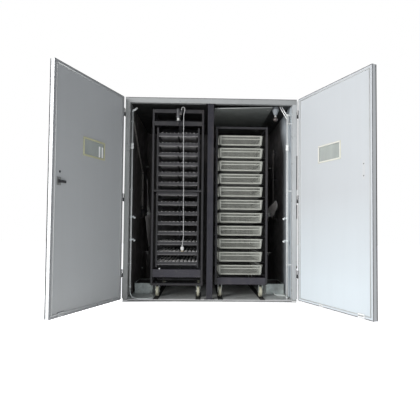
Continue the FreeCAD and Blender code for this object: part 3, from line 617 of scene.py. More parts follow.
TROLLEY = coated("trolley_paint", (0.013, 0.0125, 0.015), 0.46, 0.1, 0.14, grime=0.3,
                 grime_colour=(0.12, 0.10, 0.085), streak=0.10, grain=180, depth=0.0003)
BEAM = coated("trolley_beam_paint", (0.027, 0.025, 0.034), 0.44, 0.1, 0.12, grime=0.25,
              grime_colour=(0.15, 0.13, 0.11), streak=0.10, grain=180, depth=0.0003)
CARRIER = coated("carrier_galvanised", (0.085, 0.085, 0.088), 0.46, 0.2, 0.14, grime=0.3,
                 grime_colour=(0.20, 0.18, 0.15))
# Underside sheet of the trays and carriers: its pale front is painted light from the floor below, darkening to painted
# shade towards the rear; the grime is real dirt.
UNDERSIDE_LIT_TO_SHADE = coated("tray_underside_painted_light_and_shade", (0.62, 0.60, 0.60), 0.5, 0.0, 0.06, grime=0.1,
                   grime_colour=(0.40, 0.36, 0.32), deep=(0.16, 0.155, 0.16), shade_span=(-0.56, -0.20))
# Paler copy of the carrier steel for its front lower lip: a painted highlight along the lit edge.
LIP_HIGHLIGHT = coated("carrier_lip_painted_highlight", (0.20, 0.196, 0.198), 0.45, 0.1, 0.12, grime=0.2)
BAR = coated("carrier_front_bar", (0.027, 0.026, 0.029), 0.48, 0.1, 0.16, grime=0.3,
             grime_colour=(0.12, 0.10, 0.09))
TRAY = coated("egg_tray_plastic", (0.021, 0.020, 0.0195), 0.50, mottle=0.2, grime=0.4,
              grime_colour=(0.16, 0.14, 0.11))
# Pale copy of the tray plastic for the tooth tips: a painted highlight of their lit tops; the grime is real dirt.
TOOTH_HIGHLIGHT = coated("tray_tooth_painted_highlight", (0.46, 0.45, 0.44), 0.50, mottle=0.15, grime=0.3,
               grime_colour=(0.14, 0.12, 0.10))
BASKET_FLOOR = coated("basket_floor_plastic", (0.11, 0.11, 0.10), 0.5, mottle=0.12, grime=0.3)
BASKET = coated("basket_plastic", (0.34, 0.345, 0.305), 0.48, mottle=0.10, grime=0.25,
                grime_colour=(0.20, 0.18, 0.13))
WHEEL = coated("wheel_nylon", (0.40, 0.39, 0.30), 0.46, mottle=0.10, grime=0.35,
               grime_colour=(0.22, 0.20, 0.14))
HUB_STEEL = coated("wheel_hub_steel", (0.20, 0.20, 0.19), 0.5, 0.7, 0.2, grime=0.5)
GALVANISED = spangled("galvanised_sheet", (0.58, 0.62, 0.60))
FLOOR_SHEET = spangled("floor_sheet", (0.44, 0.45, 0.44), 0.36, 55, 0.4, 0.3)
GUIDE = coated("guide_strip_rubber", (0.012, 0.012, 0.012), 0.6, mottle=0.25, grime=0.3,
               grime_colour=(0.05, 0.045, 0.04))
PIPE = coated("pipe_plastic", (0.56, 0.575, 0.565), 0.38, mottle=0.06, grime=0.2, streak=0.12)
COUPLING = coated("coupling_plastic", (0.74, 0.75, 0.74), 0.36, mottle=0.04, grime=0.1)
DUCT = coated("duct_plastic", (0.17, 0.16, 0.15), 0.42, mottle=0.1, grime=0.3, streak=0.15)
NOZZLE = coated("nozzle_plastic", (0.58, 0.61, 0.61), 0.36, mottle=0.08, grime=0.2)
HOSE = coated("hose_plastic", (0.66, 0.70, 0.68), 0.28, mottle=0.06, grime=0.12)
BLADE = coated("fan_blade_aluminium", (0.52, 0.50, 0.49), 0.42, 0.1, 0.08, grime=0.25,
               grime_colour=(0.30, 0.27, 0.22))
HUB = coated("fan_hub_plastic", (0.42, 0.42, 0.40), 0.4, mottle=0.08, grime=0.2)
MOTOR = coated("motor_paint", (0.045, 0.045, 0.048), 0.5, 0.3, 0.2, grime=0.4, grime_colour=DUST)
GEARBOX = coated("gearbox_paint", (0.075, 0.075, 0.080), 0.46, 0.3, 0.12, grime=0.3)
HEATER = coated("heater_sheath", (0.10, 0.09, 0.08), 0.5, 0.8, 0.2, grime=0.4)
WHITE = coated("white_plastic", (0.84, 0.84, 0.83), 0.34, mottle=0.03, grime=0.06, grain=300)
CORD = coated("cord_sheath", (0.44, 0.44, 0.435), 0.45, mottle=0.03, grime=0.04, grain=500)
PLUG = coated("plug_plastic_grey", (0.52, 0.52, 0.51), 0.4, mottle=0.04, grime=0.08, grain=500)
PAN_SHEET = spangled("pan_sheet", (0.52, 0.57, 0.55), 0.55, 42.0, 0.3, 0.2)
# Inner faces of the pan walls: darkened as painted shade of the pan's inside; the grime is real dirt.
PAN_INSIDE_SHADE = coated("pan_inside_painted_shade", (0.05, 0.048, 0.042), 0.5, 0.2, 0.15, grime=0.4)
LAMPHOLDER = coated("lampholder_enamel", (0.19, 0.205, 0.22), 0.34, mottle=0.08, grime=0.2)
CERAMIC = coated("lampholder_ceramic", (0.56, 0.56, 0.54), 0.3, mottle=0.06, grime=0.15)
BULB = coated("bulb_glass", (0.075, 0.062, 0.060), 0.18, mottle=0.2)
BRASS = brushed("plug_pin_brass", (0.60, 0.48, 0.24), 0.3)
STEEL = brushed("bright_steel", (0.40, 0.40, 0.39), 0.36)
CONTROL = coated("control_case", (0.62, 0.64, 0.64), 0.4, mottle=0.03, streak=0.06)
SCREEN = coated("control_screen", (0.02, 0.035, 0.045), 0.12, mottle=0.3, grain=900, depth=0.00002)
BUTTON = coated("control_button", (0.10, 0.20, 0.14), 0.4, mottle=0.1)


# ---- camera, light and floor ---------------------------------------------
# The water is darkened as painted shade of the pan's inside.
def camera():
    """Standing height below the middle of the doors, turned a little up and to the right."""
    yaw, pitch, roll = math.radians(1.0898), math.radians(1.8323), math.radians(0.5667)
    data = bpy.data.cameras.new("camera")
    data.sensor_width = 36.0
    data.lens = 29.784
    data.shift_x, data.shift_y = 0.00548, 0.01777
    data.clip_end = 100.0
    eye = bpy.data.objects.new("camera", data)
    forward = Vector((math.sin(yaw) * math.cos(pitch), math.cos(yaw) * math.cos(pitch), math.sin(pitch)))
    level_right = Vector((math.cos(yaw), -math.sin(yaw), 0))
    level_up = level_right.cross(forward)
    right = level_right * math.cos(roll) + level_up * math.sin(roll)
    up = right.cross(forward)
    axes = Matrix((right, up, -forward)).transposed()
    eye.matrix_world = Matrix.Translation((-0.1078, FRONT - 3.9341, 0.8081 + PLINTH)) @ axes.to_4x4()
    bpy.context.scene.collection.objects.link(eye)
    bpy.context.scene.camera = eye


def lamp(name, at, target, size, power, colour=(1, 1, 1)):
    data = bpy.data.lights.new(name, "AREA")
    data.shape = "RECTANGLE"
    data.size, data.size_y = size
    data.energy = power
    data.color = colour
    light = bpy.data.objects.new(name, data)
    light.location = at
    light.rotation_euler = (Vector(target) - Vector(at)).to_track_quat("-Z", "Y").to_euler()
    bpy.context.scene.collection.objects.link(light)


def studio():
    """Pale floor, an even white room and two soft lamps."""
    world = bpy.data.worlds.new("studio")
    world.use_nodes = True
    tree = world.node_tree
    background = tree.nodes["Background"]
    seen = tree.nodes.new("ShaderNodeLightPath")
    mix = tree.nodes.new("ShaderNodeMix")
    mix.data_type = "RGBA"
    mix.inputs[6].default_value = (0.27, 0.28, 0.30, 1)
    mix.inputs[7].default_value = (1, 1, 1, 1)
    tree.links.new(seen.outputs["Is Camera Ray"], mix.inputs[0])
    tree.links.new(mix.outputs[2], background.inputs["Color"])
    bpy.context.scene.world = world
    bpy.context.scene.view_settings.view_transform = "Standard"
    lamp("key", (-4.4, -5.2, 2.9), (0.7, -0.6, 1.1), (2.6, 2.6), 490)
    lamp("fill", (2.6, -6.2, 1.6), (-0.3, -0.4, 1.2), (3.0, 2.4), 60, (0.94, 0.97, 1.0))
    mesh = bpy.data.meshes.new("floor")
    reach = 14.0
    mesh.from_pydata([(-reach, -reach, 0), (reach, -reach, 0), (reach, reach, 0), (-reach, reach, 0)], [],
                     [(0, 1, 2, 3)])
    floor = bpy.data.objects.new("floor", mesh)
    pale = Look("studio_floor", 0.0, Emission_Color=(1, 1, 1, 1))
    rays = pale.tree.nodes.new("ShaderNodeLightPath")
    pale.link(pale.remap(rays.outputs["Is Camera Ray"], 0, 1, 0.15, 0.85),
              pale.shader.inputs["Emission Strength"])
    pale.colour(pale.blend(pale.noise(3), (0.92, 0.92, 0.92), (0.95, 0.95, 0.95)))
    pale.rough(0.7, 0.8, 4)
    mesh.materials.append(pale.material)
    floor.location.z = -0.001
    bpy.context.scene.collection.objects.link(floor)
    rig.stage(floor)


# ---- cords ---------------------------------------------------------------
CABLE_ROUTE = [
    (-0.3489, -0.608, 2.186), (-0.3489, -0.609, 2.214), (-0.330, -0.611, 2.227),
    (-0.3115, -0.612, 2.213), (-0.3115, -0.612, 2.180), (-0.322, -0.612, 2.140),
    (-0.3238, -0.612, 2.060), (-0.3095, -0.612, 0.730), (-0.3125, -0.611, 0.668),
    (-0.3225, -0.610, 0.612),
]
HOSE_ROUTE = [
    (-0.912, -0.628, 0.118), (-0.910, -0.632, 0.084), (-0.901, -0.641, 0.050),
    (-0.882, -0.654, 0.027), (-0.854, -0.667, 0.015), (-0.820, -0.677, 0.0123),
    (-0.780, -0.682, 0.0123), (-0.740, -0.683, 0.0123), (-0.703, -0.677, 0.0123),
    (-0.673, -0.661, 0.0123), (-0.656, -0.633, 0.0123), (-0.652, -0.598, 0.0123),
    (-0.657, -0.556, 0.0123), (-0.669, -0.512, 0.0123), (-0.684, -0.468, 0.0123),
    (-0.699, -0.430, 0.0145), (-0.711, -0.401, 0.020), (-0.720, -0.376, 0.027),
]


def cord_curve(name, route, radius, material, body, slot, node):
    data = bpy.data.curves.new(name, "CURVE")
    data.dimensions = "3D"
    spline = data.splines.new("NURBS")
    spline.points.add(len(route) - 1)
    for point, place in zip(spline.points, route):
        point.co = (*lifted(place), 1)
    spline.order_u = 3
    spline.use_endpoint_u = True
    data.resolution_u = 16
    data.bevel_depth = radius
    data.bevel_resolution = 5
    data.use_fill_caps = True
    data.materials.append(material)
    piece = bpy.data.objects.new(name, data)
    bpy.context.scene.collection.objects.link(piece)
    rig.ride(piece, body)
    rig.slot(piece, slot)
    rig.replaces(piece, node)
    return piece


def plug():
    """Moulded two-pin plug hanging from the lead, with a ribbed neck."""
    x, y, z = CABLE_ROUTE[-1]
    kit = Kit()
    neck = [(0.004, 0.0042), (-0.002, 0.0066), (-0.006, 0.0056), (-0.009, 0.0074), (-0.012, 0.0064),
            (-0.014, 0.0085), (-0.020, 0.0095)]
    kit.lathe((x, y, z), (0, 0, 1), neck, PLUG, 20)
    loops = []
    for drop, half_x, half_y in ((0.013, 0.010, 0.009), (0.017, 0.016, 0.013), (0.024, 0.019, 0.016),
                                 (0.048, 0.018, 0.0155), (0.055, 0.016, 0.014), (0.058, 0.014, 0.012)):
        loops.append([(x + half_x * superellipse(c), y + half_y * superellipse(d), z - drop)
                      for c, d in turns(28)])
    kit.rings(loops, PLUG)
    for side in SIDES:
        kit.box(around(x + side * 0.009, 0.003), around(y, 0.001), (z - 0.074, z - 0.057), BRASS, 0.0004)
    return kit.make("motor_lead_plug", "setter_trolley", "plug_plastic", ["cable_plug"])


def cords():
    cable = cord_curve("motor_lead", CABLE_ROUTE, 0.0035, CORD, "setter_trolley", "cable_plastic",
                       "motor_cable")
    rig.cord(cable, exit=lifted(CABLE_ROUTE[0]), length=1.67, diameter=0.007, far_end="plug", stiffness="limp",
            lay="hanging", with_pieces=[plug()])
    hose = cord_curve("water_hose_line", HOSE_ROUTE, 0.004, HOSE, "cabinet", "hose_plastic", "water_hose")
    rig.cord(hose, exit=lifted(HOSE_ROUTE[0]), length=0.623, diameter=0.008, far_end="object",
            stiffness="medium", lay="loose")


# ---- cabinet -------------------------------------------------------------
def panel(node, inner_axis, inner_side, inside=CABINET_IN_SHADED):
    """Wall panel with its outside and inside sheets in their own finish."""
    low, high = box_of(node)
    kit = Kit()
    skin = 0.0015
    for is_inner in (False, True):
        ranges = [[low[i], high[i]] for i in range(3)]
        middle = high[inner_axis] - skin if inner_side > 0 else low[inner_axis] + skin
        if is_inner == (inner_side > 0):
            ranges[inner_axis][0] = middle
        else:
            ranges[inner_axis][1] = middle
        kit.box(*ranges, inside if is_inner else CABINET_OUT, 0.0012)
    return kit, low, high


def side_wall(side, name):
    node = name + "_wall"
    # The right wall's inside takes the lit copy of the inside steel: painted light at the front, painted shade to the
    # rear.
    inside_paint = CABINET_IN_SHADED if side < 0 else RIGHT_IN_LIT
    kit, low, high = panel(node, 0, -side, inside_paint)
    for y, half, thick, foot, head, edge, count in (
            (-0.20, 0.018, 0.0016, 0.004, 0.045, 0.07, 12), (0.25, 0.018, 0.0016, 0.004, 0.045, 0.07, 12),
            (-0.655, 0.0125, 0.0018, 0.0, 0.049, 0.05, 15), (0.6875, 0.0125, 0.0018, 0.0, 0.049, 0.05, 15)):
        kit.box(span(side, OUTER_X, OUTER_X + thick), around(y, half), (low.z + foot, high.z + head),
                ALUMINIUM, 0.0005)
        x = side * (OUTER_X + thick)
        kit.rivets((x, y, low.z + edge), (x, y, high.z - edge), count, (side, 0, 0), STEEL)
    for y in (-0.22, 0.24):
        kit.box(span(side, INNER_X - 0.0012, INNER_X), around(y, 0.014), (low.z + 0.01, high.z - 0.01),
                inside_paint, 0.0004)
        x = side * (INNER_X - 0.0012)
        kit.rivets((x, y, low.z + 0.08), (x, y, high.z - 0.08), 14, (-side, 0, 0), HEATER, 0.003)
    kit.box(span(side, INNER_X - 0.015, INNER_X), (low.y + 0.004, 0.648), (low.z + 0.0005, low.z + 0.016),
            ALUMINIUM, 0.002)
    if side < 0:
        kit.lathe((-INNER_X, 0.275, 0.250), (1, 0, 0), [(0, 0.011), (0.006, 0.011), (0.010, 0.007)],
                  NOZZLE, 20)
    kit.make(node + "_skin", "cabinet", "cabinet_steel", [node])


def rear_wall():
    """Rear panel with its cover strips and two grilled air intakes."""
    kit, low, high = panel("rear_wall", 1, -1)
    strip = (REAR, REAR + 0.0016)
    for x in (-0.31, 0.31):
        kit.box(around(x, 0.018), strip, (low.z + 0.004, high.z + 0.045), ALUMINIUM, 0.0005)
        kit.rivets((x, strip[1], low.z + 0.07), (x, strip[1], high.z - 0.07), 12, (0, 1, 0), STEEL)
    height = 0.42
    collar = [(0, 0.078), (0.003, 0.078), (0.0035, 0.058), (0.022, 0.055), (0.022, 0.049), (0.004, 0.047),
              (0.003, 0.001)]
    for s in SIDES:
        x = s * 0.47
        kit.box(span(s, INNER_X, OUTER_X), strip, (FLOOR, 2.298), ALUMINIUM, 0.0005)
        kit.lathe((x, REAR, height), (0, 1, 0), collar, GALVANISED, 36)
        for i in range(7):
            rise = (i - 3) * 0.0125
            half = math.sqrt(0.048 ** 2 - rise ** 2)
            kit.box(around(x, half), (0.706, 0.716), around(height + rise, 0.002), GALVANISED, 0.0005)
        for c, d in turns(6):
            kit.bolt((x + 0.068 * c, REAR + 0.0028, height + 0.068 * d), (0, 1, 0), 0.004, STEEL)
    kit.make("rear_wall_skin", "cabinet", "cabinet_steel", ["rear_wall"])


def roof():
    """Roof deck with its cover strips and two capped vents; the ceiling sheet is its underside."""
    low, high = box_of("roof")
    kit = Kit()
    deck = HEADER_HIGH
    kit.box((low.x, high.x), (low.y, high.y), (low.z + 0.0015, deck), CABINET_OUT, 0.0015)
    kit.box(inset((low.x, high.x), 0.05), (low.y, high.y - 0.05), (low.z, low.z + 0.0015), CEILING_SHADED)
    strip = (deck, deck + 0.0016)
    for x in (-0.49, 0.0, 0.49):
        kit.box(around(x, 0.018), inset((low.y, high.y), 0.01), strip, ALUMINIUM, 0.0005)
        kit.rivets((x, low.y + 0.06, strip[1]), (x, low.y + 1.276, strip[1]), 9, (0, 0, 1), STEEL)
    neck = [(0, 0.082), (0.003, 0.080), (0.0035, 0.057), (0.034, 0.055)]
    cap = [(0, 0.074), (0.002, 0.077), (0.007, 0.074), (0.011, 0.04), (0.012, 0.004)]
    for s in SIDES:
        x, y = s * 0.47, 0.40
        kit.lathe((x, y, deck), (0, 0, 1), neck, GALVANISED, 40, (True, False))
        kit.lathe((x, y, deck + 0.034), (0, 0, 1), cap, GALVANISED, 40)
        for c, d in turns(4, math.pi / 4):
            kit.bolt((x + 0.070 * c, y + 0.070 * d, deck + 0.003), (0, 0, 1), 0.004, STEEL)
    kit.make("roof_skin", "cabinet", "cabinet_steel", ["roof"])


def floor_deck():
    """Floor sheet with its base frame and the black strips that the wheels roll on."""
    kit = Kit()
    under = FLOOR - 0.0015
    kit.box((-OUTER_X, OUTER_X), (FRAME_BACK, REAR), (-PLINTH, under), CABINET_OUT, 0.001)
    kit.box((-INNER_X, INNER_X), (FRAME_BACK + 0.0005, 0.65), (under, FLOOR), FLOOR_SHEET, 0.0004)
    kit.make("floor_deck", "cabinet", "cabinet_steel", ["floor_panel"])
    strips = Kit()
    run = (FRONT, 0.44)
    for trolley in ("setter", "hatcher"):
        for x in wheel_middles(trolley):
            strips.box(around(x, 0.028), run, (FLOOR, TRACK), GUIDE, 0.0008)
            for edge in SIDES:
                strips.box(around(x + edge * 0.0265, 0.0015), run, (TRACK, TRACK + 0.003), GUIDE, 0.0006)
            strips.rivets((x, FRONT + 0.03, TRACK), (x, FRONT + 1.08, TRACK), 8, (0, 0, 1), MOTOR, 0.004)
    strips.make("wheel_guide_strips", "cabinet", "cabinet_steel")


def front_frame():
    """Jambs, header and sill with their rivets, proud inner edges and two feet."""
    kit = Kit()
    y = (FRONT, FRAME_BACK)
    proud = (FRONT - 0.0015, FRONT + 0.01)
    for s in SIDES:
        # Right jamb in the lit copy of the frame steel, left jamb in the shaded copy.
        paint = RIGHT_JAMB_LIT if s > 0 else LEFT_JAMB_SHADED
        kit.box(span(s, INNER_X, OUTER_X), y, (FLOOR, HEADER_LOW), paint, 0.0022)
        kit.box(span(s, INNER_X - 0.0015, INNER_X + 0.0035), proud, (FLOOR + 0.002, HEADER_LOW - 0.0025),
                paint, 0.0008)
        kit.rivets((s * 0.955, FRONT, 0.12), (s * 0.955, FRONT, 2.17), 11, (0, -1, 0), paint, 0.004)
    wide, narrow = (-OUTER_X, OUTER_X), (-INNER_X, INNER_X)
    sill_top = FLOOR - 0.0012
    kit.box(wide, y, (HEADER_LOW, HEADER_HIGH), HEADER, 0.0022)
    kit.box(wide, (FRONT - 0.0006, FRONT + 0.01), (HEADER_HIGH - 0.0065, HEADER_HIGH + 0.0004), SEAM, 0.0003)
    kit.box(narrow, proud, around(HEADER_LOW, 0.0025), HEADER, 0.0008)
    kit.box(wide, (FRONT + 0.004, FRAME_BACK), (-PLINTH, sill_top), GUIDE)
    face = (FRONT, FRONT + 0.006)
    kit.box(wide, face, (-PLINTH, -0.009), SILL, 0.0018)
    for s in SIDES:
        kit.box(span(s, INNER_X - 0.005, OUTER_X), face, (-0.0095, FLOOR - 0.001), SILL, 0.001)
    kit.box(wide, y, (0.001, sill_top), SILL, 0.0008)
    kit.box(narrow, (FRONT - 0.0012, FRAME_BACK - 0.002), (sill_top, FLOOR), SILL, 0.0006)
    kit.rivets((-0.90, FRONT, 2.270), (0.90, FRONT, 2.270), 13, (0, -1, 0), HEADER, 0.004)
    for s in SIDES:
        foot = Vector((s * 0.945, FRONT + 0.025, -PLINTH))
        kit.rod(foot, foot + Vector((0, 0, 0.004)), 0.022, GUIDE, 20)
    kit.make("door_frame", "cabinet", "frame_steel", ["front_frame"])


def centre_post():
    low, high = box_of("centre_post")
    kit = Kit()
    kit.box((low.x, high.x), (low.y + 0.002, high.y), (low.z, high.z), POST, 0.002)
    for x in (low.x + 0.009, high.x - 0.009):
        kit.box(around(x, 0.009), (low.y, low.y + 0.004), (low.z + 0.002, high.z - 0.002), POST, 0.0015)
    middle = (low.x + high.x) / 2
    kit.box(around(middle, 0.004), (low.y + 0.0004, low.y + 0.003), (low.z + 0.004, high.z - 0.004), POST,
            0.001)
    for x in SIDES:
        for z in (0.06, 0.75, 1.45, 2.20):
            kit.bolt((middle + x * 0.012, low.y, z), (0, -1, 0), 0.003, POST)
    for z in (low.z + 0.003, high.z - 0.003):
        kit.box(around(middle, 0.055), (low.y + 0.006, high.y), around(z, 0.0025), POST, 0.001)
    kit.make("centre_post_profile", "cabinet", "post_steel", ["centre_post"])


def cabinet_hinges():
    """Frame leaves, lower knuckles, pins and the cover strips in the gaps beside the doors, with painted shadow strips
    in the right gap.
    """
    kit = Kit()
    knuckle = [(0, 0.0075), (0.0015, 0.009), (0.0425, 0.009), (0.044, 0.0085)]
    for s in SIDES:
        x = s * HINGE_X
        leaf = span(s, OUTER_X, OUTER_X + 0.004)
        for z in HINGE_HEIGHTS:
            kit.box(leaf, (FRONT, FRONT + 0.060), around(z, HINGE_HALF), HINGE, 0.001)
            kit.box(leaf, (HINGE_Y, FRONT), (z - HINGE_HALF, z - 0.001), HINGE, 0.001)
            kit.lathe((x, HINGE_Y, z - HINGE_HALF), (0, 0, 1), knuckle, HINGE, 24)
            kit.rod((x, HINGE_Y, z - 0.0445), (x, HINGE_Y, z + 0.0465), 0.0048, STEEL, 20, 0.001)
            for dz in (-0.028, 0.028):
                for dy in (0.018, 0.044):
                    kit.bolt((s * (OUTER_X + 0.004), FRONT + dy, z + dz), (s, 0, 0), 0.0038, STEEL)
    # In the right gap the black strips at three heights are painted shadow of the hinges and the gap; the grey strips
    # are cover strips in the jamb steel.
    grey_right = ((0.020, 0.250), (0.395, 0.930), (1.200, 1.260), (1.650, 2.070), (2.170, 2.280))
    for side, paint, heights in ((-1, LEFT_JAMB_SHADED, ((0.020, 0.250), )),
                                 (1, GUIDE, ((0.365, 0.395), (0.930, 1.090), (1.260, 1.650))),
                                 (1, RIGHT_JAMB_LIT, grey_right)):
        for z in heights:
            kit.box(span(side, 0.9765, 0.9885), (FRONT - 0.0015, FRONT + 0.003), z, paint, 0.001)
    kit.make("hinge_frame_leaves", "cabinet", "hinge_steel", ["cabinet_hinges"])


# ---- doors ---------------------------------------------------------------
def swing(side):
    """Turns a shape drawn on the closed door to the door's rest position."""
    hinge = Vector((side * HINGE_X, HINGE_Y, 0))
    return Matrix.Translation(hinge) @ Matrix.Rotation(side * OPEN_ANGLE, 4, "Z") @ Matrix.Translation(-hinge)


def door_x(side, low, high):
    return span(side, HINGE_X - high, HINGE_X - low)


def bordered(kit, x, z, hole_x, hole_z, y, material, edge=0.0):
    """Sheet with a rectangular hole, as four boxes."""
    kit.box(x, y, (z[0], hole_z[0]), material, edge)
    kit.box(x, y, (hole_z[1], z[1]), material, edge)
    kit.box((x[0], hole_x[0]), y, hole_z, material, edge)
    kit.box((hole_x[1], x[1]), y, hole_z, material, edge)


def ring(kit, x, z, wide, y, material, edge):
    """Flat border of an even width."""
    bordered(kit, x, z, inset(x, wide), inset(z, wide), y, material, edge)


def door_panel(side, name):
    """Both sheets of a door with its edge strips, window reveal, foot catches and rivets."""
    kit = Kit()
    x, z = span(side, DOOR_MEET, DOOR_EDGE), (DOOR_LOW, DOOR_HIGH)
    thick = (DOOR_OUT, DOOR_IN)
    hole_x = door_x(side, WINDOW_REACH - WINDOW_HALF_W, WINDOW_REACH + WINDOW_HALF_W)
    hole_z = around(WINDOW_Z, WINDOW_HALF_H)
    middle = (DOOR_IN + DOOR_OUT) / 2
    # The left door takes the shaded copies of the inner sheet and trim, the right door the lit copies.
    sheet, trim = (LEFT_SHEET_SHADED, LEFT_LIP_SHADED) if side < 0 else (RIGHT_SHEET_LIT, RIGHT_LIP_LIT)
    for y, paint in (((middle, DOOR_IN), sheet), ((DOOR_OUT, middle), DOOR_SKIN)):
        bordered(kit, inset(x, 0.0012), inset(z, 0.0012), hole_x, hole_z, y, paint)
    lip = 0.012
    ring(kit, x, z, lip, (DOOR_IN - 0.0005, DOOR_IN + 0.0010), trim, 0.0004)
    ring(kit, x, z, lip, (DOOR_OUT - 0.0010, DOOR_OUT + 0.0005), DOOR_LIP, 0.0004)
    # The near-black ring round each door's inner face and the strip on its free edge are painted shadow along the
    # edges.
    seams_and_edge_shadows = ((0.0, 0.0060, OUTLINE_SHADOW), (lip, 0.0025, SEAM)) if side < 0 else ((0.0, 0.0060, OUTLINE_SHADOW), )
    for depth, wide, paint in seams_and_edge_shadows:
        ring(kit, inset(x, depth), inset(z, depth), wide, (DOOR_IN, DOOR_IN + 0.0013), paint, 0.0003)
    free = span(side, DOOR_MEET - 0.0010, DOOR_MEET + 0.001)
    kit.box(free, (DOOR_OUT, DOOR_OUT + 0.011), z, OUTLINE_SHADOW, 0.0003)
    for edge_x in ((x[0], x[0] + 0.0014), (x[1] - 0.0014, x[1])):
        kit.box(edge_x, thick, z, DOOR_LIP, 0.0004)
    for edge_z in ((z[0], z[0] + 0.0014), (z[1] - 0.0014, z[1])):
        kit.box(x, thick, edge_z, DOOR_LIP, 0.0004)
    kit.box(span(side, DOOR_EDGE, DOOR_EDGE + 0.0075), (DOOR_IN - 0.002, DOOR_IN), inset(z, 0.004),
            DOOR_LIP, 0.0006)
    for reveal_x in ((hole_x[0], hole_x[0] + 0.001), (hole_x[1] - 0.001, hole_x[1])):
        kit.box(reveal_x, thick, hole_z, ALUMINIUM)
    for reveal_z in ((hole_z[0], hole_z[0] + 0.001), (hole_z[1] - 0.001, hole_z[1])):
        kit.box(hole_x, thick, reveal_z, ALUMINIUM)
    foot_catches(kit, side, trim)
    for face, out in ((DOOR_IN + 0.001, 1), (DOOR_OUT - 0.001, -1)):
        for px in inset(x, 0.006):
            kit.rivets((px, face, z[0] + 0.06), (px, face, z[0] + 2.214), 13, (0, out, 0), DOOR_LIP, 0.003)
        for pz in inset(z, 0.006):
            kit.rivets((x[0] + 0.08, face, pz), (x[0] + 0.889, face, pz), 6, (0, out, 0), DOOR_LIP, 0.003)
    kit.move(swing(side))
    kit.make(name + "_door_body", name + "_door", "door_steel", [name + "_door_panel"])


def foot_catches(kit, side, trim):
    """Low plates with a short bar at the foot of a door's inner face."""
    back, plate = (SEAM, trim) if side < 0 else (trim, WHITE)
    for reach, half, tall in FOOT_CATCHES:
        x = side * (HINGE_X - reach)
        kit.box(around(x, half + 0.004), (DOOR_IN, DOOR_IN + 0.003),
                (DOOR_LOW + 0.001, DOOR_LOW + tall + 0.004), back, 0.001)
        kit.box(around(x, half), (DOOR_IN, DOOR_IN + 0.006), (DOOR_LOW + 0.006, DOOR_LOW + tall), plate,
                0.002)
        ends = [(end, DOOR_IN + 0.005, DOOR_LOW + tall / 2) for end in around(x, half - 0.006)]
        kit.rod(*ends, 0.0038, STEEL, 12, 0.001)


def door_gasket(kit, side):
    """Bulb seal on the inner face, a flat foot with a round bead."""
    x = span(side, DOOR_MEET + 0.024, DOOR_EDGE - 0.024)
    z = inset((DOOR_LOW, DOOR_HIGH), 0.024)
    wide = 0.010
    ring(kit, x, z, wide, (DOOR_IN, DOOR_IN + 0.003), GASKET, 0.0008)
    y = DOOR_IN + 0.0045
    bead_x, bead_z = inset(x, wide / 2), inset(z, wide / 2)
    for px in bead_x:
        kit.rod((px, y, bead_z[0]), (px, y, bead_z[1]), 0.0038, GASKET, 12)
    for pz in bead_z:
        kit.rod((bead_x[0], y, pz), (bead_x[1], y, pz), 0.0038, GASKET, 12)


def window_frame(kit, side, material, bead):
    """Bezel on both faces, with its screws and the run of sealant round it."""
    hole_x = door_x(side, WINDOW_REACH - WINDOW_HALF_W, WINDOW_REACH + WINDOW_HALF_W)
    hole_z = around(WINDOW_Z, WINDOW_HALF_H)
    for y0, out in ((DOOR_IN, 1), (DOOR_OUT, -1)):
        x, z = inset(hole_x, -0.014), inset(hole_z, -0.014)
        bordered(kit, x, z, hole_x, hole_z, reach_from(y0, out * 0.005), material, 0.0015)
        y_bead = y0 + out * 0.002
        corners = [(x[0], y_bead, z[0]), (x[1], y_bead, z[0]), (x[1], y_bead, z[1]), (x[0], y_bead, z[1])]
        for a, b in zip(corners, corners[1:] + corners[:1]):
            path = []
            for i in range(25):
                wobble = bead * 0.35 * math.sin(i * 2.1 + a[0] * 40)
                path.append(Vector(a).lerp(Vector(b), i / 24) + Vector((wobble, 0, wobble * 0.6)))
            kit.sweep(path, bead, SEALANT if out > 0 else GASKET, 8)
        for px in inset(x, 0.007):
            for pz in (z[0] + 0.007, WINDOW_Z, z[1] - 0.007):
                kit.rivet((px, y0 + out * 0.005, pz), (0, out, 0), STEEL, 0.003)


def door_hinge_leaves(kit, side):
    x = side * HINGE_X
    knuckle = [(0, 0.0085), (0.0015, 0.009), (0.0425, 0.009), (0.044, 0.0075)]
    for z in HINGE_HEIGHTS:
        upper = (z + 0.001, z + HINGE_HALF)
        kit.box(span(side, DOOR_EDGE, DOOR_EDGE + 0.003), inset((DOOR_OUT, DOOR_IN), 0.005),
                around(z, HINGE_HALF), HINGE, 0.0008)
        kit.box(span(side, DOOR_EDGE, HINGE_X - 0.006), (HINGE_Y - 0.004, HINGE_Y), upper, HINGE, 0.0008)
        kit.lathe((x, HINGE_Y, upper[0]), (0, 0, 1), knuckle, HINGE, 24)
        for dz in (-0.028, 0.028):
            kit.bolt((side * (DOOR_EDGE + 0.003), -0.745, z + dz), (side, 0, 0), 0.0035, STEEL)


def pull_handle(kit, side):
    """Bow handle on the outer face."""
    x = side * (HINGE_X - LOCK_REACH)
    half = 0.092
    path = []
    for i in range(25):
        t = i / 24
        path.append((x, DOOR_OUT - 0.044 * math.sin(math.pi * t) ** 0.35, LOCK_Z + half * (2 * t - 1)))
    kit.sweep(path, 0.0085, STEEL, 16)
    for z in around(LOCK_Z, half):
        kit.lathe((x, DOOR_OUT, z), (0, -1, 0), [(0, 0.018), (0.003, 0.018), (0.006, 0.010)], STEEL, 24)


def strike_plate(kit, side):
    x = side * (HINGE_X - 0.893)
    kit.box(around(x, 0.014), (DOOR_IN, DOOR_IN + 0.002), (1.270, 1.440), DOOR_LIP, 0.0006)
    for z in (1.300, 1.409):
        kit.lathe((x, DOOR_IN + 0.002, z), (0, 1, 0), [(0, 0.006), (0.0006, 0.006), (0.0003, 0.004),
                                                       (-0.0006, 0.003)], LEVER, 20)


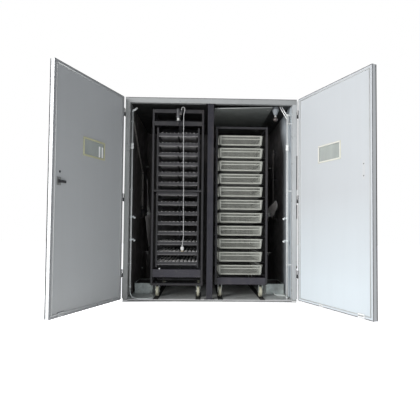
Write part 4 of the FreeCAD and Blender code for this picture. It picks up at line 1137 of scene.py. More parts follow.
def doors():
    for side, name, bezel, bead in ((-1, "left", SEALANT, 0.0035), (1, "right", BEZEL, 0.0016)):
        door_panel(side, name)
        kit = Kit()
        window_frame(kit, side, bezel, bead)
        door_hinge_leaves(kit, side)
        if side > 0:
            pull_handle(kit, side)
            strike_plate(kit, side)
        door_gasket(kit, side)
        kit.move(swing(side))
        kit.make(name + "_door_fittings", name + "_door", "trim_aluminium", [name + "_door_trim"])
        panes = Kit()
        x = door_x(side, WINDOW_REACH - WINDOW_HALF_W + 0.001, WINDOW_REACH + WINDOW_HALF_W - 0.001)
        z = around(WINDOW_Z, WINDOW_HALF_H - 0.001)
        for y in (DOOR_IN - 0.007, DOOR_OUT + 0.003):
            panes.box(x, (y, y + 0.004), z, GLASS, 0.0005)
        # On the left pane two white strips behind the glass are painted reflections.
        if side < 0:
            for share in (0.055, 0.215):
                reflection_strip_x = x[0] + (x[1] - x[0]) * share
                panes.box(around(reflection_strip_x, 0.010), (DOOR_IN - 0.0035, DOOR_IN - 0.0015),
                          (z[0] + 0.004, z[1] - 0.034), WHITE, 0.0006)
        panes.move(swing(side))
        panes.make(name + "_door_panes", name + "_door", "glass", [name + "_door_glass"])
    lock()


def lock():
    """Case and rose on the left door, and the lever with its spindle."""
    side = -1
    x = side * (HINGE_X - LOCK_REACH)
    case = Kit()
    case.box(around(x, 0.021), (DOOR_IN, DOOR_IN + 0.008), around(LOCK_Z, 0.036), LOCK, 0.002)
    case.lathe((x, DOOR_IN + 0.008, LOCK_Z), (0, 1, 0), [(0, 0.013), (0.0008, 0.012)], STEEL, 24)
    for dz in (-0.028, 0.028):
        case.bolt((x, DOOR_IN + 0.008, LOCK_Z + dz), (0, 1, 0), 0.003, STEEL)
    case.lathe((x + side * 0.012, DOOR_IN, 1.301), (0, 1, 0), [(0, 0.011), (0.002, 0.010), (0.001, 0.005)],
               LEVER, 20)
    case.lathe((x, DOOR_OUT, LOCK_Z), (0, -1, 0), [(0, 0.024), (0.004, 0.024), (0.006, 0.021)], STEEL, 32)
    case.move(swing(side))
    case.make("lock_case_and_rose", "left_door", "lock_metal", ["lock_case"])
    lever = Kit()
    lever.rod((x, DOOR_OUT - 0.026, LOCK_Z), (x, DOOR_IN + 0.017, LOCK_Z), 0.0059, STEEL, 20)
    for y, reach, thick, high in ((DOOR_IN + 0.0135, 0.074, 0.0045, 0.014),
                                  (DOOR_OUT - 0.031, 0.120, 0.007, 0.012)):
        loops = []
        for t in (-0.014, -0.010, 0.0, 0.02, 0.045, 0.6 * reach + 0.02, reach - 0.004, reach):
            end = 0.55 if t in (-0.014, reach) else 1.0
            tall = high * end * (1.0 if t < 0.02 else 0.86)
            loops.append([(x + side * t, y + thick * end * superellipse(c), LOCK_Z + tall * superellipse(d))
                          for c, d in turns(20)])
        lever.rings(loops, LEVER if y > DOOR_IN else STEEL)
    lever.move(swing(side))
    lever.make("lock_lever_grips", "lock_lever", "lever_plastic", ["lock_lever"])


# ---- setter trolley ------------------------------------------------------
def weld(kit, a, b):
    """Run of weld bead between two points."""
    a, b = Vector(a), Vector(b)
    count = max(2, int((b - a).length / 0.004))
    path = [a.lerp(b, i / count) for i in range(count + 1)]
    kit.sweep(path, 0.0022, TROLLEY, 6)


def trolley_frame(kit, low, high, rails_x, rails_y):
    """Posts in the corners; rails_x and rails_y are heights of the cross and side rails."""
    between_x, between_y = inset((low.x, high.x), TUBE), inset((low.y, high.y), TUBE)
    for x in ((low.x, between_x[0]), (between_x[1], high.x)):
        for y in ((low.y, between_y[0]), (between_y[1], high.y)):
            kit.box(x, y, (low.z, high.z), TROLLEY, 0.0025)
            kit.box(inset(x, 0.002), inset(y, 0.002), (high.z - 0.001, high.z + 0.0008), LEVER, 0.0005)
    for z, at_y in rails_x:
        paint = BEAM if z[1] - z[0] > 0.06 else TROLLEY
        for y in at_y:
            kit.box(between_x, (y, y + TUBE), z, paint, 0.0022)
            for x in between_x:
                weld(kit, (x, y - 0.0003, z[0]), (x, y - 0.0003, z[1]))
    for z in rails_y:
        for x in (low.x, between_x[1]):
            kit.box((x, x + TUBE), between_y, z, TROLLEY, 0.0022)


def wheel_middles(trolley):
    low, high = box_of(trolley + "_front_wheels")
    return inset((low.x, high.x), WHEEL_INSET)


def castors(kit, trolley, back, deck):
    """Four castors under a trolley that ends at back."""
    for x in wheel_middles(trolley):
        for y in inset((TROLLEY_FRONT, back), WHEEL_IN):
            castor(kit, x, y, deck)


def castor(kit, x, y, deck):
    """Fork with pressed cheeks, top plate, bolts and axle nut."""
    axle = box_of("setter_front_wheels")[1].z - WHEEL_R
    reach, sheet = 0.019, 0.004
    kit.box(around(x, reach + sheet), around(y, 0.030), (deck - sheet, deck), GALVANISED, 0.001)
    cheek = [(-0.028, deck - 0.003), (0.028, deck - 0.003), (0.015, axle + 0.004), (0.009, axle - 0.012),
             (-0.009, axle - 0.012), (-0.015, axle + 0.004)]
    for s in SIDES:
        loops = [[(px, y + dy, z) for dy, z in cheek] for px in reach_from(x + s * reach, s * sheet)]
        kit.rings(loops, GALVANISED, smooth=False)
        kit.bolt((x + s * (reach + sheet), y, axle), (s, 0, 0), 0.008, STEEL)
        for dy in (-0.022, 0.022):
            kit.bolt((x + s * 0.012, y + dy, deck - sheet), (0, 0, -1), 0.003, STEEL)
    kit.rod((x - reach - sheet, y, axle), (x + reach + sheet, y, axle), 0.0059, STEEL, 16)


def turning_motor(kit):
    """Geared motor hung in front of the top rail, with its terminal box and gland."""
    x, y = SETTER_X, TROLLEY_FRONT - 0.022
    kit.box(around(x, 0.024), (TROLLEY_FRONT - 0.004, TROLLEY_FRONT), (2.060, SETTER_TOP), TROLLEY, 0.001)
    kit.lathe((x, y, 2.092), (0, 0, 1), [(0, 0.0175), (0.002, 0.018), (0.094, 0.018), (0.098, 0.0175)],
              GEARBOX, 32)
    for i in range(11):
        kit.lathe((x, y, 2.128 + i * 0.0052), (0, 0, 1), [(0, 0.0192), (0.0022, 0.0192)], GEARBOX, 32)
    kit.lathe((x, y, 2.190), (0, 0, 1), [(0, 0.0195), (0.002, 0.020), (0.014, 0.020), (0.018, 0.016)],
              MOTOR, 32)
    kit.lathe((x, y, 2.066), (0, 0, 1), [(0, 0.010), (0.004, 0.013), (0.022, 0.0135), (0.026, 0.017)],
              CERAMIC, 28)
    kit.rod((x, y, 2.030), (x, y, 2.066), 0.005, MOTOR, 16, 0.001)
    kit.box((x + 0.010, x + 0.044), around(y - 0.003, 0.012), (2.130, 2.172), MOTOR, 0.002)
    gx, gy, gz = CABLE_ROUTE[0]
    kit.lathe((gx, gy, 2.170), (0, 0, 1), [(0, 0.0075), (0.005, 0.0075), (0.006, 0.0062),
                                           (gz - 2.172, 0.0052), (gz - 2.170, 0.0042)], LEVER, 6)
    for dx in (-0.021, 0.021):
        for z in (2.075, 2.120, 2.198):
            kit.bolt((x + dx, TROLLEY_FRONT - 0.004, z), (0, -1, 0), 0.0025, STEEL)
    for dx in (-0.014, 0.014):
        kit.rod((x + dx, y - 0.010, 2.184), (x + dx, y - 0.010, 2.194), 0.002, STEEL, 10)


def setter_frame():
    """Welded frame with pivot uprights, the notched front beam and castors."""
    low, high = box_of("setter_frame")
    low = Vector((low.x, TROLLEY_FRONT, SETTER_DECK))
    high = Vector((high.x, SETTER_BACK, SETTER_TOP))
    front, back = low.y, high.y - TUBE
    kit = Kit()
    middle = SETTER_MID - TUBE / 2
    axles = (front + WHEEL_IN - TUBE / 2, high.y - WHEEL_IN - TUBE / 2)
    top_rail, belt_rail, foot_rail = (2.164, SETTER_TOP), (1.233, 1.258), (SETTER_DECK, 0.170)
    trolley_frame(kit, low, high, [
        (top_rail, (front, back, middle)),
        ((2.014, 2.065), (front, back)),
        (belt_rail, (front, )),
        ((0.239, 0.331), (front, back)),
        (foot_rail, (front, back, middle, *axles)),
    ], (top_rail, belt_rail, foot_rail))
    for y, top in ((SETTER_MID, 2.164), (0.260, 2.014)):
        kit.box(around(SETTER_X, 0.020), around(y, 0.012), (0.170, top), TROLLEY, 0.0015)
        for index in range(LAYERS):
            kit.lathe((SETTER_X, y - 0.012, layer_height(index)), (0, -1, 0), [(0, 0.012), (0.003, 0.012)],
                      MOTOR, 20)
    notch = [(SETTER_X - 0.018, 0.318), (SETTER_X + 0.018, 0.318), (SETTER_X, 0.286)]
    kit.rings([[(px, y, pz) for px, pz in notch] for y in (front - 0.0012, front + 0.0002)], MOTOR,
              smooth=False)
    stud = low.x + 0.104
    kit.box(around(stud, 0.007), (front + 0.002, front + 0.006), (0.325, 0.348), TROLLEY, 0.0006)
    kit.bolt((stud, front + 0.002, 0.338), (0, -1, 0), 0.005, WHITE)
    castors(kit, "setter", SETTER_BACK, SETTER_DECK)
    kit.make("setter_trolley_frame", "setter_trolley", "trolley_paint", ["setter_frame"])
    motor = Kit()
    turning_motor(motor)
    motor.make("tray_turning_motor", "setter_trolley", "motor_paint")


def layer_height(index):
    """Height of a layer's pivot axis."""
    return box_of("setter_layer_%02d" % (index + 1))[1].z - 0.018


def scalloped(kit, start, along, count, pitch, foot, thick):
    """Thin wall whose top edge rises to a tooth at every multiple of pitch, its tip pale as a painted highlight."""
    start, along = Vector(start), Vector(along)
    across = along.cross(Vector((0, 0, 1))) * (thick / 2)
    steps = 6
    wall, edge = [], []
    for i in range(count * steps + 1):
        share = i / steps
        top = 0.002 + 0.0205 * abs(math.cos(math.pi * share)) ** 1.6
        low = Vector((0, 0, foot))
        middle = Vector((0, 0, top - 0.0055))
        high = Vector((0, 0, top))
        p = start + along * (share * pitch)
        wall.append([p - across + low, p + across + low, p + across + middle, p - across + middle])
        edge.append([p - across + middle, p + across + middle, p + across * 0.7 + high,
                     p - across * 0.7 + high])
    kit.rings(wall, TRAY, smooth=False)
    kit.rings(edge, TOOTH_HIGHLIGHT, smooth=False)


def egg_tray(kit, x, y, z):
    """Tray of ten by eight cups between toothed walls."""
    across, deep = 10, 8
    pitch_x = (x[1] - x[0]) / across
    pitch_y = (y[1] - y[0]) / deep
    for j in range(deep):
        scalloped(kit, (x[0], y[0] + (pitch_y * j or 0.0036), z), (1, 0, 0), across, pitch_x, -0.013, 0.0022)
    for py in (y[0] + 0.0014, y[1] - 0.0014):
        kit.box(x, around(py, 0.0011), (z - 0.013, z + 0.010), TRAY, 0.0004)
    # Flat bottom sheet in the underside finish: painted light at the front, painted shade further back.
    kit.box(x, y, (z - 0.0205, z - 0.0190), UNDERSIDE_LIT_TO_SHADE, 0.0004)
    for i in range(across + 1):
        px = x[0] + pitch_x * i + (0.0014 if i == 0 else -0.0014 if i == across else 0)
        scalloped(kit, (px, y[0], z), (0, 1, 0), deep, pitch_y, -0.013, 0.0022)
    cup = ((0.0215, 0.006), (0.013, -0.016), (0.0115, -0.016), (0.0200, 0.006))
    for i in range(across):
        for j in range(deep):
            centre = Vector((x[0] + pitch_x * (i + 0.5), y[0] + pitch_y * (j + 0.5), z))
            loops = [[centre + Vector((radius * c, radius * d, height)) for c, d in turns(8, 0.39)]
                     for radius, height in cup]
            kit.rings(loops, TRAY, smooth=False, closed=True)


def carrier(kit, x, y_ranges, z):
    """Steel angle frame that holds both trays, with its pivot shafts."""
    front, rear = y_ranges[0][0], y_ranges[1][1]
    wide = inset(x, -0.003)
    for s, edge in ((-1, x[0]), (1, x[1])):
        kit.box(reach_from(edge, s * 0.003), (front, rear), (z - 0.021, z + 0.012), CARRIER, 0.0008)
        kit.box(reach_from(edge + s * 0.003, -s * 0.025), (front, rear), (z - 0.0225, z - 0.0200), CARRIER,
                0.0006)
        kit.box(reach_from(edge, s * 0.014), (front, rear), (z + 0.0085, z + 0.0115), CARRIER, 0.0008)
    middle = (x[0] + x[1]) / 2
    for low, high in y_ranges:
        for edge, s in ((low, 1), (high, -1)):
            kit.box(wide, reach_from(edge, s * 0.0025), (z - 0.0225, z + 0.0150), BAR, 0.0008)
            kit.box(x, reach_from(edge, s * 0.024), (z - 0.0235, z - 0.0210), UNDERSIDE_LIT_TO_SHADE, 0.0008)
        kit.box(around(middle, 0.010), (low, high), (z - 0.0235, z - 0.0205), CARRIER, 0.0008)
    kit.box(wide, (front - 0.0035, front + 0.002), (z - 0.0240, z - 0.0190), LIP_HIGHLIGHT, 0.0014)
    for start, end in ((y_ranges[0][1] - 0.002, y_ranges[1][0] + 0.002), (rear - 0.002, 0.272)):
        kit.rod((middle, start, z), (middle, end, z), 0.006, STEEL, 16)


def setter_layers():
    """Each layer's carrier with its tie bar pins, and its two egg trays."""
    rear_tray = TRAY_FRONT + TRAY_DEPTH + TRAY_GAP
    y_ranges = ((TRAY_FRONT, TRAY_FRONT + TRAY_DEPTH), (rear_tray, rear_tray + TRAY_DEPTH))
    for index in range(LAYERS):
        node = "setter_layer_%02d" % (index + 1)
        low, high = box_of(node)
        z = layer_height(index)
        x = inset((low.x, high.x), 0.014)
        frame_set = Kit()
        carrier(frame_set, x, y_ranges, z)
        for side in SIDES:
            pin_x = SETTER_X + side * 0.241
            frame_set.rod((pin_x, TRAY_FRONT - 0.008, z), (pin_x, TRAY_FRONT + 0.003, z), 0.004, TROLLEY, 14)
            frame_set.box(around(pin_x + side * 0.001, 0.006), (TRAY_FRONT, TRAY_FRONT + 0.018),
                          around(z, 0.010), CARRIER, 0.001)
        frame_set.make("layer_%02d_carrier" % (index + 1), node, "tray_plastic", [node])
        trays = Kit()
        for tray_y in y_ranges:
            egg_tray(trays, inset(x, 0.0008), inset(tray_y, 0.003), z)
        trays.make("layer_%02d_egg_trays" % (index + 1), node, "tray_plastic")


def tie_bars():
    for name in ("left_tie_bar", "right_tie_bar"):
        low, high = box_of(name)
        kit = Kit()
        kit.box((low.x, high.x), (low.y, high.y), (low.z, high.z), TROLLEY, 0.001)
        x = (low.x + high.x) / 2
        for index in range(LAYERS):
            kit.lathe((x, low.y, layer_height(index)), (0, -1, 0), [(0, 0.0075), (0.0003, 0.0075)], TROLLEY,
                      18)
        kit.make(name + "_strip", name, "trolley_paint", [name])


def wheels(node):
    """Two nylon wheels with rounded treads, dished sides and steel hubs."""
    low, high = box_of(node)
    y, z = (low.y + high.y) / 2, (low.z + high.z) / 2
    kit = Kit()
    half = [(0.006, 0.0599), (0.013, 0.0587), (0.0162, 0.0550), (0.016, 0.0505), (0.0125, 0.0460),
            (0.0125, 0.0230), (0.017, 0.0195), (0.017, 0.0125), (0.016, 0.0125)]
    profile = [(-along, radius) for along, radius in reversed(half)] + half
    for x in inset((low.x, high.x), WHEEL_INSET):
        kit.lathe((x, y, z), (1, 0, 0), profile, WHEEL, 48, (False, False))
        kit.lathe((x, y, z), (1, 0, 0), [(-0.0168, 0.0063), (-0.0168, 0.0125), (0.0168, 0.0125),
                                         (0.0168, 0.0063)], HUB_STEEL, 28, (False, False))
        for c, d in turns(6):
            for s in SIDES:
                boss = (x + s * 0.0120, y + 0.034 * c, z + 0.034 * d)
                kit.lathe(boss, (s, 0, 0), [(0, 0.0045), (0.0012, 0.0040)], WHEEL, 12)
    kit.make(node + "_pair", node, "wheel_nylon", [node])


# ---- hatcher trolley -----------------------------------------------------
def hatcher_frame():
    """Welded frame with an angle runner on each side of every basket, and castors."""
    low, high = box_of("hatcher_frame")
    low = Vector((low.x, TROLLEY_FRONT, HATCHER_DECK))
    high = Vector((high.x, HATCHER_BACK, HATCHER_TOP))
    front, back = low.y, high.y - TUBE
    axles = (front + WHEEL_IN - TUBE / 2, high.y - WHEEL_IN - TUBE / 2)
    top_rail, foot_rail = (1.986, HATCHER_TOP), (HATCHER_DECK, 0.241)
    kit = Kit()
    trolley_frame(kit, low, high, [
        (top_rail, (front, back)),
        (foot_rail, (front, back)),
        ((HATCHER_DECK, 0.186), axles),
    ], (top_rail, foot_rail))
    run = inset((front, high.y), 0.002)
    for index in range(BASKETS):
        foot = box_of("hatching_basket_%02d" % (index + 1))[0].z - 0.0004
        for s, edge in ((1, low.x + TUBE), (-1, high.x - TUBE)):
            kit.box(reach_from(edge, s * 0.040), run, (foot - 0.002, foot), TROLLEY, 0.0005)
            kit.box(reach_from(edge, s * 0.002), run, (foot - 0.022, foot), TROLLEY, 0.0005)
    castors(kit, "hatcher", HATCHER_BACK, HATCHER_DECK)
    kit.make("hatcher_trolley_frame", "hatcher_trolley", "trolley_paint", ["hatcher_frame"])


def rounded_loop(centre, half, radius, inset, z):
    """Rectangle with round corners, drawn in from half by inset."""
    hx, hy = half[0] - inset, half[1] - inset
    r = max(0.003, radius - inset)
    loop = []
    for sx, sy, start in ((1, 1, 0), (-1, 1, 90), (-1, -1, 180), (1, -1, 270)):
        for k in range(6):
            a = math.radians(start + k * 18)
            loop.append((centre[0] + sx * (hx - r) + r * math.cos(a),
                         centre[1] + sy * (hy - r) + r * math.sin(a), z))
    return loop


def band(kit, centre, half, levels, thick, radius=0.030):
    """Closed band round the basket through (inset, height) levels."""
    outer = [rounded_loop(centre, half, radius, inset, z) for inset, z in levels]
    inner = [rounded_loop(centre, half, radius, inset + thick, z) for inset, z in reversed(levels)]
    kit.rings(outer + inner, BASKET, smooth=False, closed=True)


def lean(height):
    """How far the basket wall stands in from its rim at a height over the basket's foot."""
    return 0.003 + 0.013 * (BASKET_WALL - height) / BASKET_WALL


def basket(index):
    """Slotted hatching basket: rim, two rows of slots, round bottom edge and a barred floor."""
    node = "hatching_basket_%02d" % (index + 1)
    low, high = box_of(node)
    centre = ((low.x + high.x) / 2, (low.y + high.y) / 2)
    half = ((high.x - low.x) / 2, (high.y - low.y) / 2)
    z = low.z
    kit = Kit()
    band(kit, centre, half, [(lean(0) + 0.012, z + 0.0005), (lean(0) + 0.005, z + 0.003),
                             (lean(0.008) + 0.001, z + 0.008), (lean(0.017), z + 0.017)], 0.0025)
    band(kit, centre, half, [(lean(0.072), z + 0.072), (lean(0.081), z + 0.081)], 0.0030)
    band(kit, centre, half, [(lean(0.103), z + 0.103), (lean(BASKET_WALL), z + BASKET_WALL),
                             (0.0, z + 0.109), (0.0, z + 0.1155), (0.002, z + 0.1160)], 0.0030)
    for axis in (0, 1):
        other = 1 - axis
        reach = half[axis] - 0.036
        count = round(2 * reach / 0.0125)
        for i in range(count + 1):
            along = centre[axis] - reach + 2 * reach * i / count
            for s in SIDES:
                basket_rib(kit, axis, along, centre[other], s, half[other], z)
        for s in SIDES:
            for end in SIDES:
                corner_plate(kit, axis, centre, half, s, end, z)
    grid(kit, centre, half, z)
    kit.make(node + "_shell", node, "basket_plastic", [node])


def place(axis, along, out, z):
    return (along, out, z) if axis == 0 else (out, along, z)


def basket_rib(kit, axis, along, middle, side, half, z):
    """Upright rib from the bottom band to the rim, leaning with the wall."""
    loops = []
    for height in (0.015, 0.105):
        a = middle + side * (half - lean(height) - 0.0003)
        b = middle + side * (half - lean(height) - 0.0027)
        loops.append([place(axis, along - RIB_HALF, a, z + height),
                      place(axis, along + RIB_HALF, a, z + height),
                      place(axis, along + RIB_HALF, b, z + height),
                      place(axis, along - RIB_HALF, b, z + height)])
    kit.rings(loops, BASKET, smooth=False)


def corner_plate(kit, axis, centre, half, side, end, z):
    """Solid strip of wall beside a corner, rounded with it."""
    other = 1 - axis
    loops = []
    for height in (0.015, 0.105):
        sunk = lean(height) + 0.0001
        loop = []
        for depth, order in ((0.0, range(8)), (0.0026, range(7, -1, -1))):
            r = 0.030 - sunk
            for k in order:
                if k < 2:
                    along = half[axis] - 0.038 + k * 0.008
                    out = half[other] - sunk - depth
                else:
                    a = math.radians(90 - (k - 1) * 7.5)
                    along = half[axis] - 0.030 + (r - depth) * math.cos(a)
                    out = half[other] - 0.030 + (r - depth) * math.sin(a)
                loop.append(place(axis, centre[axis] + end * along, centre[other] + side * out, z + height))
        loops.append(loop)
    kit.rings(loops, BASKET, smooth=False)


def grid(kit, centre, half, z):
    """Floor of crossing bars."""
    hx, hy = half[0] - 0.024, half[1] - 0.024
    for count, axis in ((22, 0), (36, 1)):
        reach, run = (hx, hy) if axis == 0 else (hy, hx)
        for i in range(count + 1):
            at = centre[axis] - reach + 2 * reach * i / count
            thick = around(at, 0.0016)
            length = around(centre[1 - axis], run)
            x, y = (thick, length) if axis == 0 else (length, thick)
            kit.box(x, y, (z + 0.001, z + 0.0045 - 0.001 * axis), BASKET_FLOOR)


# ---- air, water and light ------------------------------------------------
def fan(side, name):
    """Hub and disc with two long twisted paddles on a steel clamp."""
    x, y, z = side * 0.838, FAN_Y, FAN_Z
    reach_in, reach_out = 0.022, 0.475
    tilt = math.radians(108 if side < 0 else -14)
    kit = Kit()
    kit.lathe((x + side * 0.012, y, z), (-side, 0, 0), [(0, 0.024), (0.002, 0.026), (0.030, 0.026),
                                                        (0.034, 0.020), (0.042, 0.014)], WHITE, 32)
    kit.lathe((x - side * 0.016, y, z), (-side, 0, 0), [(0, 0.052), (0.0015, 0.0555), (0.008, 0.0555),
                                                        (0.0095, 0.052), (0.010, 0.030)], HUB, 40)
    kit.bolt((x - side * 0.030, y, z), (-side, 0, 0), 0.007, STEEL)
    for turn in (0, math.pi):
        blade = Kit()
        rows = 14
        loops = []
        for i in range(rows + 1):
            t = i / rows
            chord = 0.078 - 0.030 * t
            if t > 0.97:
                chord *= 0.93
            twist = math.radians(24 - 18 * t)
            section = []
            for u, v in ((-1, -1), (-0.3, -1), (0.4, -1), (1, -1), (1, 1), (0.4, 1), (-0.3, 1), (-1, 1)):
                out = v * 0.001 + 0.007 * (1 - u * u)
                wide = u * chord
                section.append((out * math.cos(twist) + wide * math.sin(twist),
                                reach_in + t * (reach_out - reach_in),
                                wide * math.cos(twist) - out * math.sin(twist)))
            loops.append(section)
        blade.rings(loops, BLADE, smooth=False)
        blade.box((-0.004, 0.004), (0.018, 0.095), around(0, 0.012), STEEL, 0.001)
        for reach in (0.070, 0.085):
            for s in SIDES:
                blade.bolt((s * 0.004, reach, 0), (s, 0, 0), 0.0045, STEEL)
        blade.move(Matrix.Translation((x, y, z)) @ Matrix.Rotation(turn + tilt, 4, "X"))
        kit.take(blade)
    kit.make(name + "_rotor", name, "fan_steel", [name])


def fan_motor(kit, side):
    y, z = FAN_Y, FAN_Z
    wall = side * INNER_X
    kit.box(span(side, 0.924, INNER_X), around(y, 0.075), around(z, 0.075), MOTOR, 0.002)
    kit.lathe((wall, y, z), (-side, 0, 0), [(0.006, 0.062), (0.040, 0.062), (0.046, 0.056), (0.050, 0.030),
                                            (0.050, 0.0085)], MOTOR, 40)
    for c, d in turns(20):
        spoke = Vector((0, c, d))
        start = Vector((wall - side * 0.008, y, z)) + spoke * 0.060
        kit.rod(start, start + Vector((-side * 0.032, 0, 0)), 0.0028, MOTOR, 6)
    kit.rod((side * 0.880, y, z), (side * 0.820, y, z), 0.008, STEEL, 20)
    for dy in SIDES:
        for dz in SIDES:
            kit.bolt((side * 0.924, y + dy * 0.062, z + dz * 0.062), (-side, 0, 0), 0.005, STEEL)


def wall_channels(kit):
    """Cable runs of both fan motors: flat channel and sloping duct left, tube on brackets right."""
    foot, left_top, right_top = FAN_Z + 0.052, 1.590, 1.915
    kit.box((-INNER_X, -0.908), around(FAN_Y, 0.006), (foot, left_top), DUCT, 0.002)
    for z in (foot + 0.04, 1.33, left_top - 0.03):
        kit.box((-INNER_X, -0.9065), around(FAN_Y, 0.008), around(z, 0.007), MOTOR, 0.001)
    kit.rod((0.890, FAN_Y, foot), (0.890, FAN_Y, right_top), 0.006, DUCT, 20, 0.001)
    for z in (1.130, 1.500, right_top - 0.030):
        kit.box((0.896, INNER_X), around(FAN_Y, 0.005), around(z, 0.007), MOTOR, 0.001)
        kit.lathe((0.890, FAN_Y, z - 0.007), (0, 0, 1), [(0, 0.0062), (0, 0.0078), (0.014, 0.0078),
                                                         (0.014, 0.0062)], MOTOR, 20)
    start = Vector((-0.922, FAN_Y, left_top))
    end = Vector((-0.922, FRONT + 0.130, 2.121))
    run = end - start
    duct = Kit()
    duct.box(around(0, 0.008), (0, run.length), around(0, 0.012), DUCT, 0.002)
    for i in range(5):
        duct.box(around(0, 0.0085), around(0.06 + i * (run.length - 0.12) / 4, 0.006), around(0, 0.0125),
                 MOTOR, 0.001)
    duct.move(Matrix.Translation(start) @ Matrix.Rotation(math.atan2(run.z, run.y), 4, "X"))
    kit.take(duct)


def fans():
    fan(-1, "left_fan")
    fan(1, "right_fan")
    kit = Kit()
    fan_motor(kit, -1)
    fan_motor(kit, 1)
    wall_channels(kit)
    kit.make("fan_motors_and_ducts", "cabinet", "motor_paint", ["fan_motors"])


def heaters():
    """Finned hairpin elements near the rear of both side walls."""
    kit = Kit()
    for side in SIDES:
        x = side * 0.900
        y1, y2, low, high = 0.530, 0.600, 0.420, 1.780
        bend = (y2 - y1) / 2
        path = [(x, y1, low), (x, y1, high)]
        for k in range(1, 12):
            a = math.pi * (1 - k / 12)
            path.append((x, y1 + bend + bend * math.cos(a), high + bend * math.sin(a)))
        path += [(x, y2, high), (x, y2, low)]
        kit.sweep(path, 0.0059, HEATER, 14)
        for y in (y1, y2):
            for i in range(60):
                kit.lathe((x, y, low + 0.08 + i * 0.0205), (0, 0, 1), [(0, 0.0125), (0.0008, 0.0125)],
                          HEATER, 14)
            kit.rod((x, y, low), (x, y, low + 0.045), 0.0085, CERAMIC, 18, 0.001)
        for z in (low + 0.040, high - 0.060):
            kit.box(span(side, 0.896, INNER_X), (y1 - 0.010, y2 + 0.010), around(z, 0.006), STEEL, 0.001)
    kit.make("heating_elements", "cabinet", "heater_steel", ["heater_tubes"])


def pan_skin(kit, x, y, z):
    """Folded sheet pan: rolled rim, dented walls and standing water marks."""
    wall = 0.0015
    kit.box(x, y, (z[0], z[0] + wall), PAN_SHEET, 0.0005)
    for s, edge in ((1, x[0]), (-1, x[1])):
        dented(kit, 0, edge, s * wall, y, z)
        kit.rod((edge - s * 0.0005, y[0], z[1] - 0.002), (edge - s * 0.0005, y[1], z[1] - 0.002), 0.0035,
                PAN_SHEET, 10)
    for s, edge in ((1, y[0]), (-1, y[1])):
        dented(kit, 1, edge, s * wall, x, z)
        kit.rod((x[0], edge - s * 0.0005, z[1] - 0.002), (x[1], edge - s * 0.0005, z[1] - 0.002), 0.0035,
                PAN_SHEET, 10)
    for px in x:
        for py in y:
            kit.lathe((px, py, z[1] - 0.0055), (0, 0, 1), [(0, 0.0035), (0.007, 0.0035)], PAN_SHEET, 10)
    water = Look("pan_water_painted_shade", 0.0, Transmission_Weight=0.6, IOR=1.33)
    water.colour(water.blend(water.noise(4), (0.05, 0.055, 0.05), (0.09, 0.095, 0.09)))
    water.rough(0.02, 0.08, 5)
    water.bump(water.noise(14, 2), 0.0008)
    dent = wall + 0.007
    kit.box((x[0] + dent, x[1] - dent), (y[0] + dent, y[1] - dent), (z[0] + wall, z[0] + 0.075),
            water.material)


def dented(kit, axis, edge, thick, run, z):
    """One pan wall as a sheet with shallow dents."""
    rows, columns = 8, 24
    faces_at = []
    for shift in (0.0, thick):
        for j in range(rows + 1):
            for i in range(columns + 1):
                along = run[0] + (run[1] - run[0]) * i / columns
                height = z[0] + (z[1] - z[0]) * j / rows
                inner = 0 < i < columns and 0 < j < rows
                wave = (math.sin(i * 0.62 + edge * 31) + math.sin(j * 0.9 + i * 0.35 + edge * 17)
                        + 0.6 * math.sin(i * 1.3 - j * 0.7))
                dent = 0.0008 * (wave + 2.6) if inner else 0.0
                at = edge + shift + math.copysign(dent, thick)
                faces_at.append((at, along, height) if axis == 0 else (along, at, height))
    n = (rows + 1) * (columns + 1)
    faces = []
    for j in range(rows):
        for i in range(columns):
            a = j * (columns + 1) + i
            quad = (a, a + 1, a + columns + 2, a + columns + 1)
            faces.append(quad)
            faces.append(tuple(v + n for v in reversed(quad)))
    border = list(range(columns + 1))
    border += [j * (columns + 1) + columns for j in range(1, rows + 1)]
    border += [rows * (columns + 1) + i for i in range(columns - 1, -1, -1)]
    border += [j * (columns + 1) for j in range(rows - 1, 0, -1)]
    for a, b in zip(border, border[1:] + border[:1]):
        faces.append((b, a, a + n, b + n))
    if (thick > 0) == (axis == 0):
        faces = [face[::-1] for face in faces]
    first = len(kit.faces)
    kit.add(faces_at, faces, PAN_SHEET, smooth=True)
    # The inner faces take the darkened inside finish, a painted shade.
    if PAN_INSIDE_SHADE not in kit.materials:
        kit.materials.append(PAN_INSIDE_SHADE)
    for i in range(rows * columns):
        kit.paint[first + 2 * i + 1] = kit.materials.index(PAN_INSIDE_SHADE)


def pans():
    for name, x in (("left", LEFT_PAN_X), ("right", RIGHT_PAN_X)):
        kit = Kit()
        pan_skin(kit, x, PAN_Y, PAN_Z)
        if name == "left":
            hx, hy, hz = HOSE_ROUTE[-1]
            kit.lathe((hx, hy, hz), (0, 1, 0), [(0, 0.0052), (0.002, 0.0068), (0.011, 0.0068),
                                                (0.0115, 0.0085), (0.0155, 0.0085)], NOZZLE, 20)
        kit.make(name + "_water_pan", "cabinet", "galvanised", ["water_pans"])


FEED_ROUTE = [
    (RIGHT_PIPE_X, -0.628, 0.022), (0.897, -0.550, 0.019), (0.902, -0.480, 0.016), (0.897, -0.452, 0.015),
    (0.884, -0.440, 0.015), (0.848, -0.434, 0.015), (0.812, -0.430, 0.015), (0.799, -0.420, 0.017),
    (0.792, -0.404, 0.022), (0.790, -0.368, 0.032),
]


